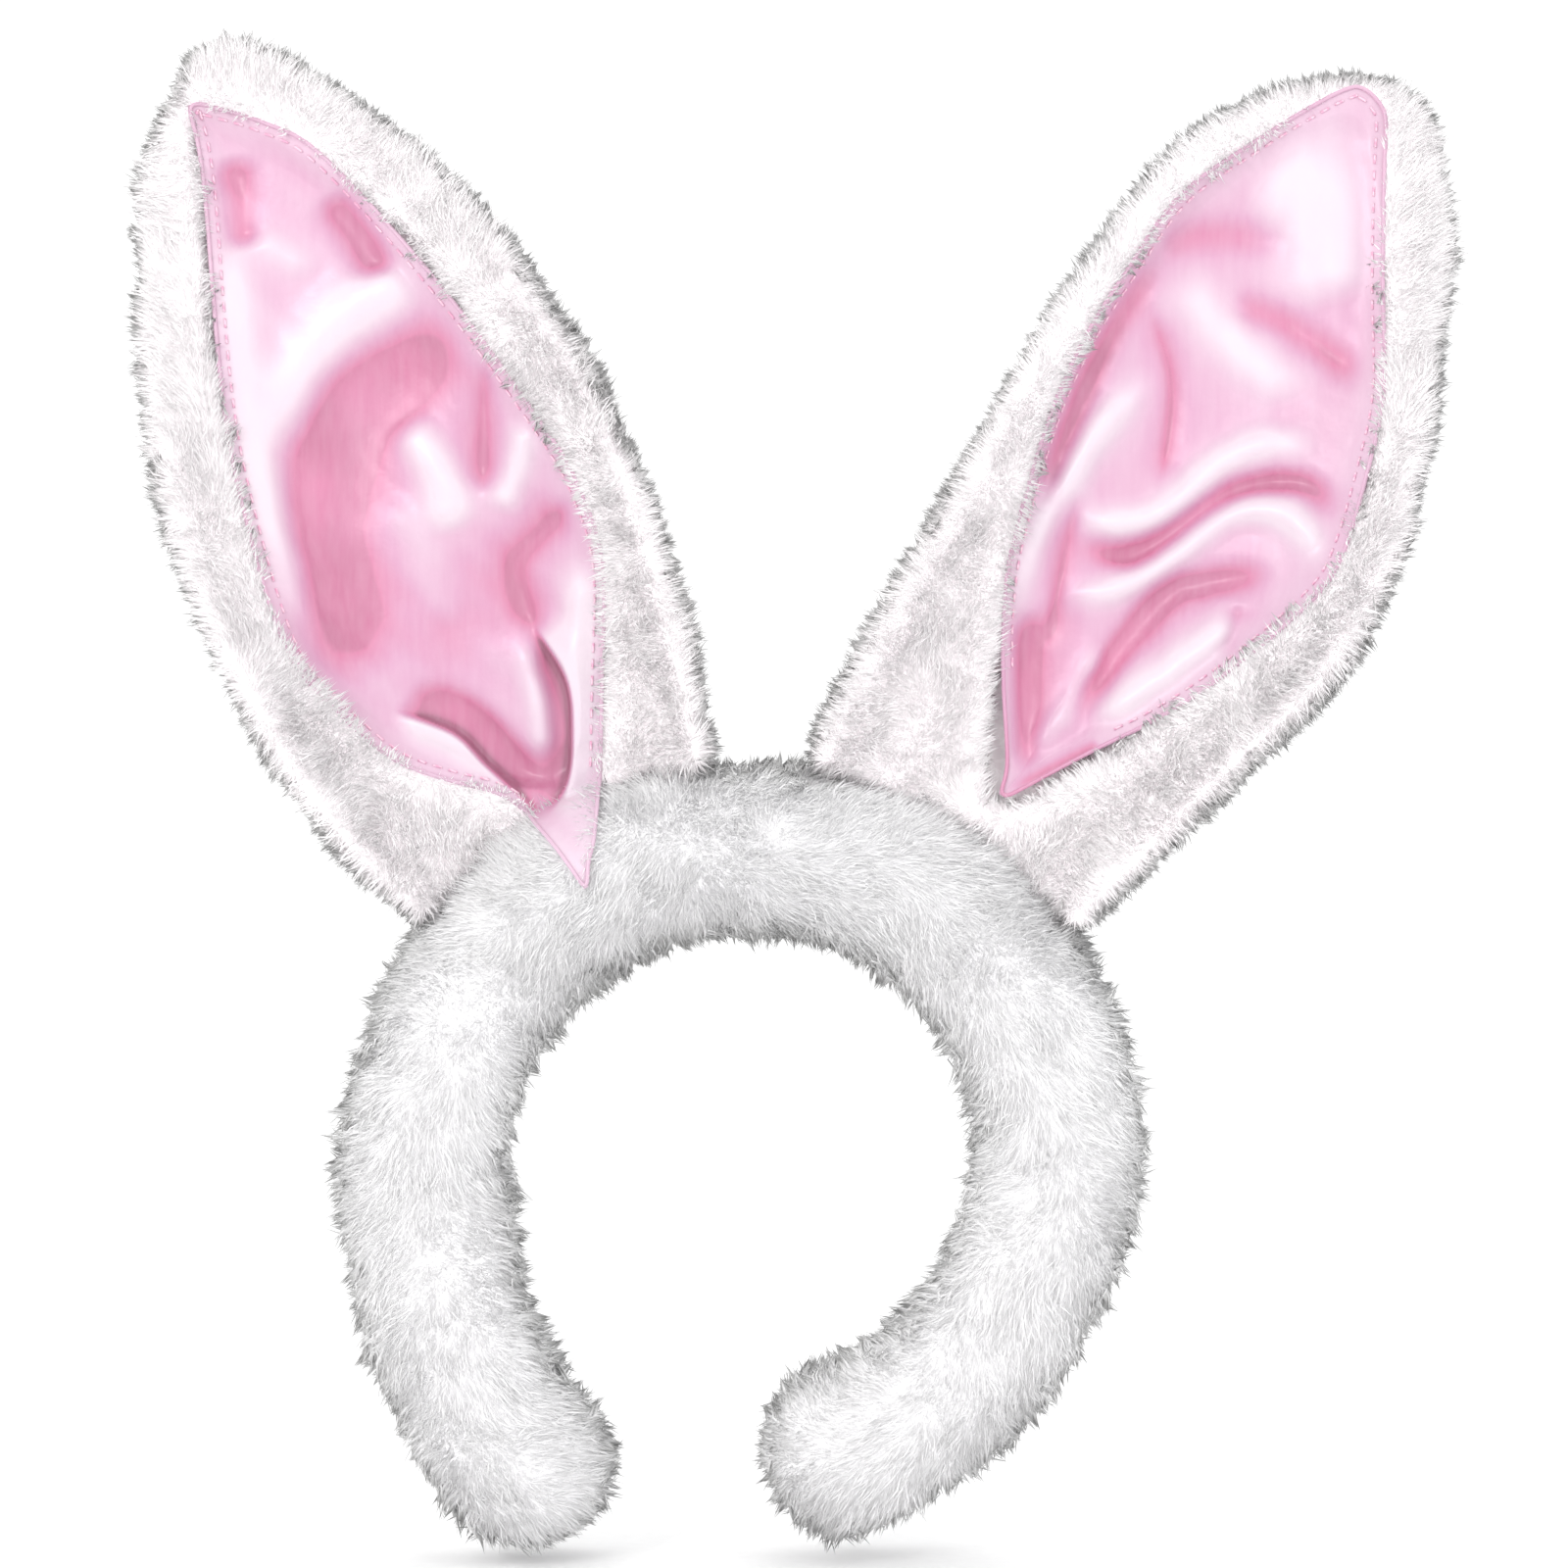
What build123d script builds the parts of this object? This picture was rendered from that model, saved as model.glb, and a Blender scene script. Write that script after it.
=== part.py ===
from build123d import *
import math
import os

# Plush rabbit-ear headband. Millimetres, +Z up, +X to the right, the satin side of the ears faces -Y.
# The origin is the centre of the crown's arc, where the wearer's head sits in the band.

# ---- band: a planar path of tangent arcs, and the sections of its three layers ----
CROWN_R = 78.2            # centreline radius of the crown
FLEX_DEG = 65.0           # place of each leg's flex, measured from the top of the crown
LEFT_STRAIGHT = 5.0       # straight stretch below the left end of the crown's arc
LEFT_LEG_R = 102.0        # the left leg curves in gently
LEFT_LEG_DEG = 41.0
SHOULDER_R = 50.0         # the right side turns down a little sooner than the left
SHOULDER_DEG = 20.0
RIGHT_LEG_R = 85.0        # the right leg curves in further than the left
RIGHT_LEG_DEG = 67.0

SLEEVE_R = 18.5           # plush sleeve: ground cloth and the dense part of its pile
SLEEVE_BORE_R = 12.5
FOAM_R = 12.2
STRIP_W = 14.0            # springy strip, across the band
STRIP_T = 2.2
STRIP_EDGE_R = 0.9
STRIP_ROOM = 0.25
STRIP_SHORT_DEG = 3.0     # the strip stops this far short of the end caps' centres
KNUCKLE_CLEAR = 0.4
STRIP_SLOT_DEG = 1.0      # the foam's slot runs this much further than the strip
SOCKET_R = 19.7           # hollow in the crown's end, round the ball end of a leg
SWING_REACH = 22.0        # the fan that lets the strip swing in a leg's ball end: its length,
SWING_OUT = 14.5          # and its half-widths there, away from the head and towards it
SWING_IN = 8.0
SWING_NEAR = 2.3          # and its half-width at the flex, away from the head

# ---- ears: layers of one cupped surface, at depths counted backwards from its middle ----
EAR_DEG = {"left": 29.0, "right": -31.0}      # place of each ear on the crown, from the top
EAR_LEAN = {"left": 24.0, "right": -29.0}     # lean of its mid-line from the vertical
EAR_BASE = {"left": (-46.0, 83.0), "right": (50.4, 83.3)}
WALL_BACK = 9.0
WALL_MIDDLE = 2.0
WALL_FRONT = -7.0
CUP_R = 58.0              # the ear is cupped round a cone: its radius at the base,
CUP_SLOPE = 0.25          # and how fast that radius grows along the ear
SET_BACK = 8.0            # the ear's mid-line stands this far behind the band's plane
CONE_LOW = -70.0          # the cones that cut the layers run from below the foot to past the tip
CONE_HIGH = 270.0
CUT_REACH = 60.0          # prisms that cut outlines run this far each way
FOOT_LENGTH = 160.0       # length of the cylinder that hollows the foot
OPENING_PAST = 2.0        # the cut for the window starts this far in front of the border
FOOT_CLEAR = 0.4          # between the ear's foot and the sleeve that it turns on
FOOT_WALL = 3.0
WEB_W = 4.5               # plush at the rim, outside the wadding
WADDING_INSET = 10.2
WADDING_HALF_T = 1.7
WIRE_INSET = 6.0
WIRE_R = 0.8
WIRE_LOW = 10.0
WIRE_POINTS = 38
LINING_FRONT = -3.4
LINING_BACK = -2.2
LINING_CLEAR = 0.4

# ---- sewing thread ----
THREAD_R = 0.45
THREAD_GAP = 0.12         # between a stitch and the cloth that it lies on
STITCH_LEN = 3.4
SEAM_PITCH = 8.0
SEAM_MARGIN_DEG = 17.0    # the crown's seam stops this far short of its flexes
LEFT_SEAM_DEG = (5.0, 2.0)     # where the left leg's seam starts on each arc, past the arc's own start
RIGHT_SEAM_DEG = (4.0, 2.0, 3.0)   # gaps in the right leg's seam at its shoulder and below it
TOPSTITCH_PITCH = 6.0
TOPSTITCH_INSET = 2.6
END_STITCHES = 6
END_STITCH_DEG = 18.0     # ring of closing stitches, measured from the tip's pole
BASE_STITCH_U = (-21, -14, -7, 0, 7, 14, 21)
BASE_STITCH_V = 1.0

# Outlines in the ear's own (across, along) coordinates, each a ring of arcs: start, then (middle, end).
EAR_OUTLINE = {
    "left": ((-33, -14), [((-48, 22), (-54, 62)), ((-51.5, 112), (-36, 162)), ((-23.5, 188), (-8, 204)),
                          ((0.5, 208), (9, 203)), ((34, 165), (48, 118)), ((51.5, 80), (47.5, 40)),
                          ((42.5, 13), (35, -14))]),
    "right": ((-36, -14), [((-37.4, 30), (-37, 75)), ((-36.8, 120), (-32, 160)), ((-22, 187), (-7, 204)),
                           ((7, 210), (21, 204)), ((34, 184), (44, 160)), ((54, 134), (60, 104)),
                           ((60.5, 80), (54, 54)), ((45, 22), (34, -14))]),
}
WINDOW_OUTLINE = {
    "left": ((4, 9), [((-24, 29), (-41, 66)), ((-34, 122), (-16, 180)), ((-14, 190), (-9, 197)),
                      ((18, 164), (33, 115)), ((39, 75), (31, 40)), ((23, 22), (14, 9))]),
    "right": ((3, 10), [((-13, 46), (-24, 82)), ((-30, 121), (-25, 160)), ((-17, 181), (-4, 196)),
                        ((3, 200), (9, 195)), ((27, 169), (41, 140)), ((49, 111), (47, 84)),
                        ((32, 46), (10, 10))]),
}


# ---------------------------------------------------------------- band

def on_arc(centre, radius, degrees):
    """A point of an arc in the XZ plane, with degrees counted from +X towards +Z."""
    a = math.radians(degrees)
    return Vector(centre[0] + radius * math.cos(a), 0, centre[1] + radius * math.sin(a))


HEAD_CENTRE = (0.0, 0.0)
SHOULDER_CENTRE = on_arc(HEAD_CENTRE, CROWN_R - SHOULDER_R, SHOULDER_DEG)
SHOULDER_CENTRE = (SHOULDER_CENTRE.X, SHOULDER_CENTRE.Z)
RIGHT_LEG_CENTRE = (SHOULDER_CENTRE[0] + SHOULDER_R - RIGHT_LEG_R, SHOULDER_CENTRE[1])
LEFT_LEG_CENTRE = (LEFT_LEG_R - CROWN_R, -LEFT_STRAIGHT)

# stretches of the path: centre, radius, and the angles where each starts and ends
CROWN_ARCS = [(HEAD_CENTRE, CROWN_R, 90 - FLEX_DEG, 90 + FLEX_DEG)]
LEFT_ARCS = [(HEAD_CENTRE, CROWN_R, 90 + FLEX_DEG, 180),
             (LEFT_LEG_CENTRE, LEFT_LEG_R, 180, 180 + LEFT_LEG_DEG)]
RIGHT_ARCS = [(HEAD_CENTRE, CROWN_R, SHOULDER_DEG, 90 - FLEX_DEG),
              (SHOULDER_CENTRE, SHOULDER_R, 0, SHOULDER_DEG),
              (RIGHT_LEG_CENTRE, RIGHT_LEG_R, -RIGHT_LEG_DEG, 0)]
FLEX = {"left": on_arc(HEAD_CENTRE, CROWN_R, 90 + FLEX_DEG),
        "right": on_arc(HEAD_CENTRE, CROWN_R, 90 - FLEX_DEG)}
END = {"left": on_arc(LEFT_LEG_CENTRE, LEFT_LEG_R, 180 + LEFT_LEG_DEG),
       "right": on_arc(RIGHT_LEG_CENTRE, RIGHT_LEG_R, -RIGHT_LEG_DEG)}


def bent(section, centre, radius, start, end):
    """Turns a section (X away from the centre, Y across the band) along an arc of the path."""
    ring = revolve(Pos(radius, 0, 0) * (Plane.XZ * section), Axis.Z, end - start)
    return Pos(centre[0], 0, centre[1]) * (Rot(90, 0, 0) * (Rot(0, 0, start) * ring))


def leg_run(side, section, short_deg=0.0):
    """A section carried from a leg's flex down to its tip, stopping short_deg before the tip."""
    if side == "left":
        upper, last = LEFT_ARCS
        last = (last[0], last[1], last[2], last[3] - short_deg)
        straight = Pos(-CROWN_R, 0, -LEFT_STRAIGHT) * extrude(section, LEFT_STRAIGHT)
        return bent(section, *upper) + straight + bent(section, *last)
    upper, shoulder, last = RIGHT_ARCS
    last = (last[0], last[1], last[2] + short_deg, last[3])
    return bent(section, *upper) + bent(section, *shoulder) + bent(section, *last)


def strip_section(room=0.0):
    """The strip's section, larger all round by room."""
    return RectangleRounded(STRIP_T + 2 * room, STRIP_W + 2 * room, STRIP_EDGE_R)


def ball(place, radius):
    """A sphere about a point of the path."""
    return Pos(place.X, place.Y, place.Z) * Sphere(radius)


def pin(place, radius, length):
    """A cylinder about the flex's own axis, across the band."""
    return Pos(place.X, place.Y, place.Z) * (Rot(90, 0, 0) * Cylinder(radius, length))


def swing_slot(side):
    """The fan-shaped slot that lets the crown's strip swing inside the ball end of a leg."""
    outward = FLEX[side].normalized()
    turn = 1 if side == "left" else -1
    along = Vector(turn * outward.Z, 0, -turn * outward.X)
    fan_plane = Plane(origin=FLEX[side], x_dir=along, z_dir=along.cross(outward))
    near = STRIP_T / 2 + KNUCKLE_CLEAR
    fan = Polyline((-near, SWING_NEAR), (0, SWING_NEAR), (SWING_REACH, SWING_OUT),
                   (SWING_REACH, -SWING_IN), (near, -near), (-near, -near), close=True)
    return extrude(fan_plane * make_face(fan), STRIP_W / 2 + STRIP_ROOM, both=True)


def make_crown():
    """The crown's strip, padding and sleeve, each hollowed round the legs' ball ends."""
    arc = CROWN_ARCS[0]
    short_deg = math.degrees((STRIP_T / 2 + KNUCKLE_CLEAR) / CROWN_R)
    strip = bent(strip_section(), arc[0], arc[1], arc[2] + short_deg, arc[3] - short_deg)
    foam = bent(Circle(FOAM_R), *arc) - bent(strip_section(STRIP_ROOM), *arc)
    sleeve = bent(Circle(SLEEVE_R), *arc) - bent(Circle(SLEEVE_BORE_R), *arc)
    for place in FLEX.values():
        foam -= ball(place, SOCKET_R)
        sleeve -= ball(place, SOCKET_R)
    return {"crown_strip": strip, "crown_padding": foam, "crown_sleeve": sleeve}


def make_leg(side):
    """A leg's strip, padding and sleeve, with a ball end at the flex and a round cap at the tip."""
    slot = swing_slot(side)
    strip = leg_run(side, strip_section(), STRIP_SHORT_DEG)
    strip += pin(FLEX[side], STRIP_T / 2, STRIP_W - 2 * STRIP_EDGE_R)
    foam = leg_run(side, Circle(FOAM_R)) + ball(FLEX[side], FOAM_R) + ball(END[side], FOAM_R)
    foam -= leg_run(side, strip_section(STRIP_ROOM), STRIP_SHORT_DEG - STRIP_SLOT_DEG)
    bore = leg_run(side, Circle(SLEEVE_BORE_R))
    bore = bore + ball(FLEX[side], SLEEVE_BORE_R) + ball(END[side], SLEEVE_BORE_R)
    sleeve = leg_run(side, Circle(SLEEVE_R)) + ball(FLEX[side], SLEEVE_R) + ball(END[side], SLEEVE_R)
    return {f"{side}_leg_strip": strip, f"{side}_leg_padding": foam - slot,
            f"{side}_leg_sleeve": sleeve - bore - slot}


# ---------------------------------------------------------------- sewing on the band

def stitch(place, direction):
    """One short length of thread, centred on a place."""
    return Plane(origin=place, z_dir=direction) * Cylinder(THREAD_R, STITCH_LEN)


def seam_on(arc, start, end):
    """Stitches along the head side of one arc of the sleeve, between two angles."""
    centre, radius = arc[0], arc[1]
    inner_r = radius - SLEEVE_R - THREAD_GAP - THREAD_R
    count = max(2, round(math.radians(end - start) * inner_r / SEAM_PITCH))
    stitches = []
    for i in range(count):
        a = start + (end - start) * (i + 0.5) / count
        stitches.append(stitch(on_arc(centre, inner_r, a), on_arc(HEAD_CENTRE, 1, a + 90)))
    return stitches


def end_ring(side):
    """Closing stitches gathered round the pole of a leg's end cap."""
    x, z = LEFT_LEG_CENTRE if side == "left" else RIGHT_LEG_CENTRE
    centre = Vector(x, 0, z)
    turn = -1 if side == "left" else 1
    outward = (END[side] - centre).normalized()
    pole = Vector(turn * outward.Z, 0, -turn * outward.X)
    lift = SLEEVE_R + THREAD_R + THREAD_GAP
    across = Vector(0, 1, 0)
    stitches = []
    for i in range(END_STITCHES):
        a = 2 * math.pi * (i + 0.5) / END_STITCHES
        aside = outward * math.cos(a) + across * math.sin(a)
        t = math.radians(END_STITCH_DEG)
        place = END[side] + (pole * math.cos(t) + aside * math.sin(t)) * lift
        stitches.append(stitch(place, aside * math.cos(t) - pole * math.sin(t)))
    return stitches


def make_band_sewing():
    """The closing seam along the head side of the sleeve, and the gathers at its two ends."""
    crown = CROWN_ARCS[0]
    left_upper, left_lower = LEFT_ARCS
    right_shoulder, right_lower = RIGHT_ARCS[1:]
    return {
        "crown_seam_stitches": seam_on(crown, crown[2] + SEAM_MARGIN_DEG, crown[3] - SEAM_MARGIN_DEG),
        "left_leg_seam_stitches": (seam_on(left_upper, left_upper[2] + LEFT_SEAM_DEG[0], left_upper[3])
                                   + seam_on(left_lower, left_lower[2] + LEFT_SEAM_DEG[1], left_lower[3])),
        "right_leg_seam_stitches": (seam_on(right_shoulder, RIGHT_SEAM_DEG[0], right_shoulder[3] - RIGHT_SEAM_DEG[1])
                                    + seam_on(right_lower, right_lower[2], -RIGHT_SEAM_DEG[2])),
        "left_end_stitches": end_ring("left"),
        "right_end_stitches": end_ring("right"),
    }


# ---------------------------------------------------------------- ears

CUP_COS = math.sqrt(1 - CUP_SLOPE ** 2)
CUP_APEX = -CUP_R / CUP_SLOPE


def ear_plane(side):
    """The ear's own plane: X across it, Y along its mid-line, Z towards the front."""
    lean = math.radians(EAR_LEAN[side])
    x, z = EAR_BASE[side]
    return Plane(origin=(x, 0, z), x_dir=(math.cos(lean), 0, math.sin(lean)), z_dir=(0, -1, 0))


def cup_height(u, v, depth):
    """How far to the front a point of the layer at a depth stands, above the ear's own plane."""
    along = v - CUP_APEX
    a = CUP_COS ** 2 - CUP_SLOPE ** 2
    b = CUP_COS * CUP_SLOPE * along + CUP_SLOPE ** 2 * depth
    c = (CUP_COS * u) ** 2 - 2 * CUP_COS * CUP_SLOPE * along * depth - depth ** 2
    return (b - math.sqrt(b * b - a * c)) / a - SET_BACK


def cone(depth):
    """The solid cone whose surface lies at a depth, in the ear's own coordinates."""
    low = (CONE_LOW - CUP_APEX) * CUP_COS
    high = (CONE_HIGH - CUP_APEX) * CUP_COS
    slope = CUP_SLOPE / CUP_COS
    body = Cone(low * slope + depth / CUP_COS, high * slope + depth / CUP_COS, high - low)
    axis = Vector(0, CUP_COS, CUP_SLOPE)
    middle = Vector(0, CUP_APEX, -SET_BACK) + axis * ((low + high) / 2)
    return Plane(origin=middle, x_dir=(1, 0, 0), z_dir=axis) * body


def layer(front, back):
    """The curved slab between two depths."""
    return cone(back) - cone(front)


def ring_face(start, arcs):
    """A face bounded by arcs, closed by a straight line."""
    edges = []
    here = start
    for middle, there in arcs:
        edges.append(ThreePointArc(here, middle, there))
        here = there
    edges.append(Line(here, start))
    return make_face(edges)


def inset(face, amount):
    """A face made smaller all round."""
    return offset(face, -amount, kind=Kind.ARC)


def prism(face):
    """The upright prism on a face, right through the ear."""
    return extrude(face, CUT_REACH, both=True)


def foot_cylinder(side, radius):
    """A cylinder about the ear's hinge axis, in the ear's own coordinates."""
    a = math.radians(90 + EAR_DEG[side])
    world = Plane(origin=(CROWN_R * math.cos(a), 0, CROWN_R * math.sin(a)), x_dir=(0, 1, 0),
                  z_dir=(-math.sin(a), 0, math.cos(a)))
    return ear_plane(side).to_local_coords(world * Cylinder(radius, FOOT_LENGTH))


def make_ear_shell(side, outline, window):
    """The plush: a cupped back whose edge rolls over to the front as a border round the window."""
    body = layer(WALL_FRONT, WALL_BACK) & prism(outline)
    cavity = layer(-WALL_MIDDLE, WALL_MIDDLE) & prism(inset(outline, WEB_W))
    cavity -= foot_cylinder(side, SLEEVE_R + FOOT_CLEAR + FOOT_WALL)
    opening = layer(WALL_FRONT - OPENING_PAST, 0) & prism(window)
    return body - cavity - opening - foot_cylinder(side, SLEEVE_R + FOOT_CLEAR)


def make_ear_wadding(side, outline):
    """The thin filling between the plush and the lining."""
    slab = layer(-WADDING_HALF_T, WADDING_HALF_T) & prism(inset(outline, WADDING_INSET))
    return slab - foot_cylinder(side, SLEEVE_R + FOOT_CLEAR + FOOT_WALL + FOOT_CLEAR)


def make_ear_wire(outline):
    """The bendable wire that runs round the ear inside its rim, open at the foot."""
    rim = inset(outline, WIRE_INSET).face().outer_wire()
    flat = [rim.position_at(i / WIRE_POINTS) for i in range(WIRE_POINTS)]
    flat = [(p.X, p.Y) for p in flat]
    # the wire starts after the gap at the foot
    low = [i for i, p in enumerate(flat) if p[1] < WIRE_LOW]
    first = (max(low) + 1) if max(low) - min(low) < WIRE_POINTS / 2 else 1
    ordered = [flat[(first + i) % WIRE_POINTS] for i in range(WIRE_POINTS)]
    points = [Vector(u, v, cup_height(u, v, 0)) for u, v in ordered if v >= WIRE_LOW]
    radii = []
    for before, here, after in zip(points, points[1:], points[2:]):
        run_in, run_out = here - before, after - here
        half_turn = math.radians(run_in.get_angle(run_out)) / 2
        radii.append(0.45 * min(run_in.length, run_out.length) / math.tan(half_turn))
    path = FilletPolyline(*points, radius=radii)
    return sweep(Plane(origin=path @ 0, z_dir=path % 0) * Circle(WIRE_R), path)


def make_ear_lining(window):
    """The satin, set a little below the front of the border."""
    return layer(LINING_FRONT, LINING_BACK) & prism(inset(window, LINING_CLEAR))


def topstitches(window):
    """The stitches round the lining's edge, on its face."""
    rim = inset(window, TOPSTITCH_INSET).face().outer_wire()
    count = round(rim.length / TOPSTITCH_PITCH)
    depth = LINING_FRONT - THREAD_GAP - THREAD_R
    stitches = []
    for i in range(count):
        ends = []
        for step in (-1, 1):
            p = rim.position_at((i / count + step * STITCH_LEN / 2 / rim.length) % 1)
            ends.append(Vector(p.X, p.Y, cup_height(p.X, p.Y, depth)))
        stitches.append(stitch((ends[0] + ends[1]) * 0.5, ends[1] - ends[0]))
    return stitches


def base_stitches():
    """The stitches at the foot of the ear's back, which hold it to the sleeve."""
    depth = WALL_BACK + THREAD_GAP + THREAD_R
    stitches = []
    for u in BASE_STITCH_U:
        low = Vector(u, BASE_STITCH_V, cup_height(u, BASE_STITCH_V, depth))
        high = Vector(u, BASE_STITCH_V + 1, cup_height(u, BASE_STITCH_V + 1, depth))
        stitches.append(stitch(low, high - low))
    return stitches


def make_ear(side):
    """Every piece of one ear, placed on the band."""
    outline = ring_face(*EAR_OUTLINE[side])
    window = ring_face(*WINDOW_OUTLINE[side])
    pieces = {
        f"{side}_ear_shell": make_ear_shell(side, outline, window),
        f"{side}_ear_wadding": make_ear_wadding(side, outline),
        f"{side}_ear_wire": make_ear_wire(outline),
        f"{side}_ear_lining": make_ear_lining(window),
        f"{side}_ear_topstitches": Compound(children=topstitches(window)),
        f"{side}_ear_base_stitches": Compound(children=base_stitches()),
    }
    place = ear_plane(side).location
    return {name: place * shape for name, shape in pieces.items()}


# ---------------------------------------------------------------- writing

def main():
    """Makes every piece and writes one file for each node."""
    pieces = make_crown()
    for side in ("left", "right"):
        pieces.update(make_leg(side))
        pieces.update(make_ear(side))
    for name, stitches in make_band_sewing().items():
        pieces[name] = Compound(children=stitches)
    os.makedirs("parts", exist_ok=True)
    for name, shape in pieces.items():
        export_step(shape, f"parts/{name}.step")


main()
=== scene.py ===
"""Looks of a plush rabbit-ear headband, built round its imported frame.

Everything is in metres, in the frame's own axes: +Z up, the satin side of the ears faces -Y, and the
origin is the centre of the crown's arc.
"""

import logging
import math
from dataclasses import dataclass
from enum import Enum
from typing import Callable, Sequence

import bpy
import numpy as np
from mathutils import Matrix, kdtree


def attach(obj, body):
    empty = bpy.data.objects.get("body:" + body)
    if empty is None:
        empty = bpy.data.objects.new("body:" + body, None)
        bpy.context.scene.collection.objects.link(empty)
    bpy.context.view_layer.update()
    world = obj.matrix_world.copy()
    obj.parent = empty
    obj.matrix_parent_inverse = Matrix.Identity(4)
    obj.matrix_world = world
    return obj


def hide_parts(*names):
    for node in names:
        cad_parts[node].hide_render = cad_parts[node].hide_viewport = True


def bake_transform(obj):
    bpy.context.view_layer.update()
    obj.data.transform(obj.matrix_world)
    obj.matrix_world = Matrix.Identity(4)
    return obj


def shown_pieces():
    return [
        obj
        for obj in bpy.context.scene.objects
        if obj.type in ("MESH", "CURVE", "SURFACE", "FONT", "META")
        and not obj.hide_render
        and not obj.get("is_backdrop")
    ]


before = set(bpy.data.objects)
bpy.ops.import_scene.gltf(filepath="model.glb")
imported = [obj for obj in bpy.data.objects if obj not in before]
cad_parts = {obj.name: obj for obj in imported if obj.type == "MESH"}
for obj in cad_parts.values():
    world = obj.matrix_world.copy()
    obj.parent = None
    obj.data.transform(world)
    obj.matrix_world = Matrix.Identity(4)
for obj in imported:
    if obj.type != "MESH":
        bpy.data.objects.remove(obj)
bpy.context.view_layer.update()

MM = 0.001
LOG = logging.getLogger("headband")
Array = np.ndarray


# ---------------------------------------------------------------- names

class Side(Enum):
    """The two sides of the headband, as seen from the front."""

    LEFT = "left"
    RIGHT = "right"


class Slot(Enum):
    """The record's material slots."""

    PLUSH = "plush"
    SATIN = "satin"
    FOAM = "foam"
    WADDING = "wadding"
    STRIP = "band_strip"
    WIRE = "ear_wire"
    PINK_THREAD = "pink_thread"
    WHITE_THREAD = "white_thread"


# ---------------------------------------------------------------- shader nodes

class Socket:
    """An output socket of a shader node, on which arithmetic adds Math nodes."""

    def __init__(self, shader: "Shader", socket: bpy.types.NodeSocket) -> None:
        """Wraps one socket of a shader's tree."""
        self.shader = shader
        self.socket = socket

    def _math(self, operation: str, first: "Socket | float", second: "Socket | float") -> "Socket":
        """Adds one Math node.

        Args:
            operation: the node's operation.
            first: its first value.
            second: its second value.

        Returns:
            The node's result.
        """
        return self.shader.node("ShaderNodeMath", {"operation": operation}, {0: first, 1: second})

    def __add__(self, other: "Socket | float") -> "Socket":
        """Adds."""
        return self._math("ADD", self, other)

    __radd__ = __add__

    def __mul__(self, other: "Socket | float") -> "Socket":
        """Multiplies."""
        return self._math("MULTIPLY", self, other)

    __rmul__ = __mul__

    def __sub__(self, other: "Socket | float") -> "Socket":
        """Subtracts."""
        return self._math("SUBTRACT", self, other)

    def __rsub__(self, other: "Socket | float") -> "Socket":
        """Subtracts this from a number."""
        return self._math("SUBTRACT", other, self)

    def __pow__(self, other: "Socket | float") -> "Socket":
        """Raises to a power."""
        return self._math("POWER", self, other)


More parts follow.
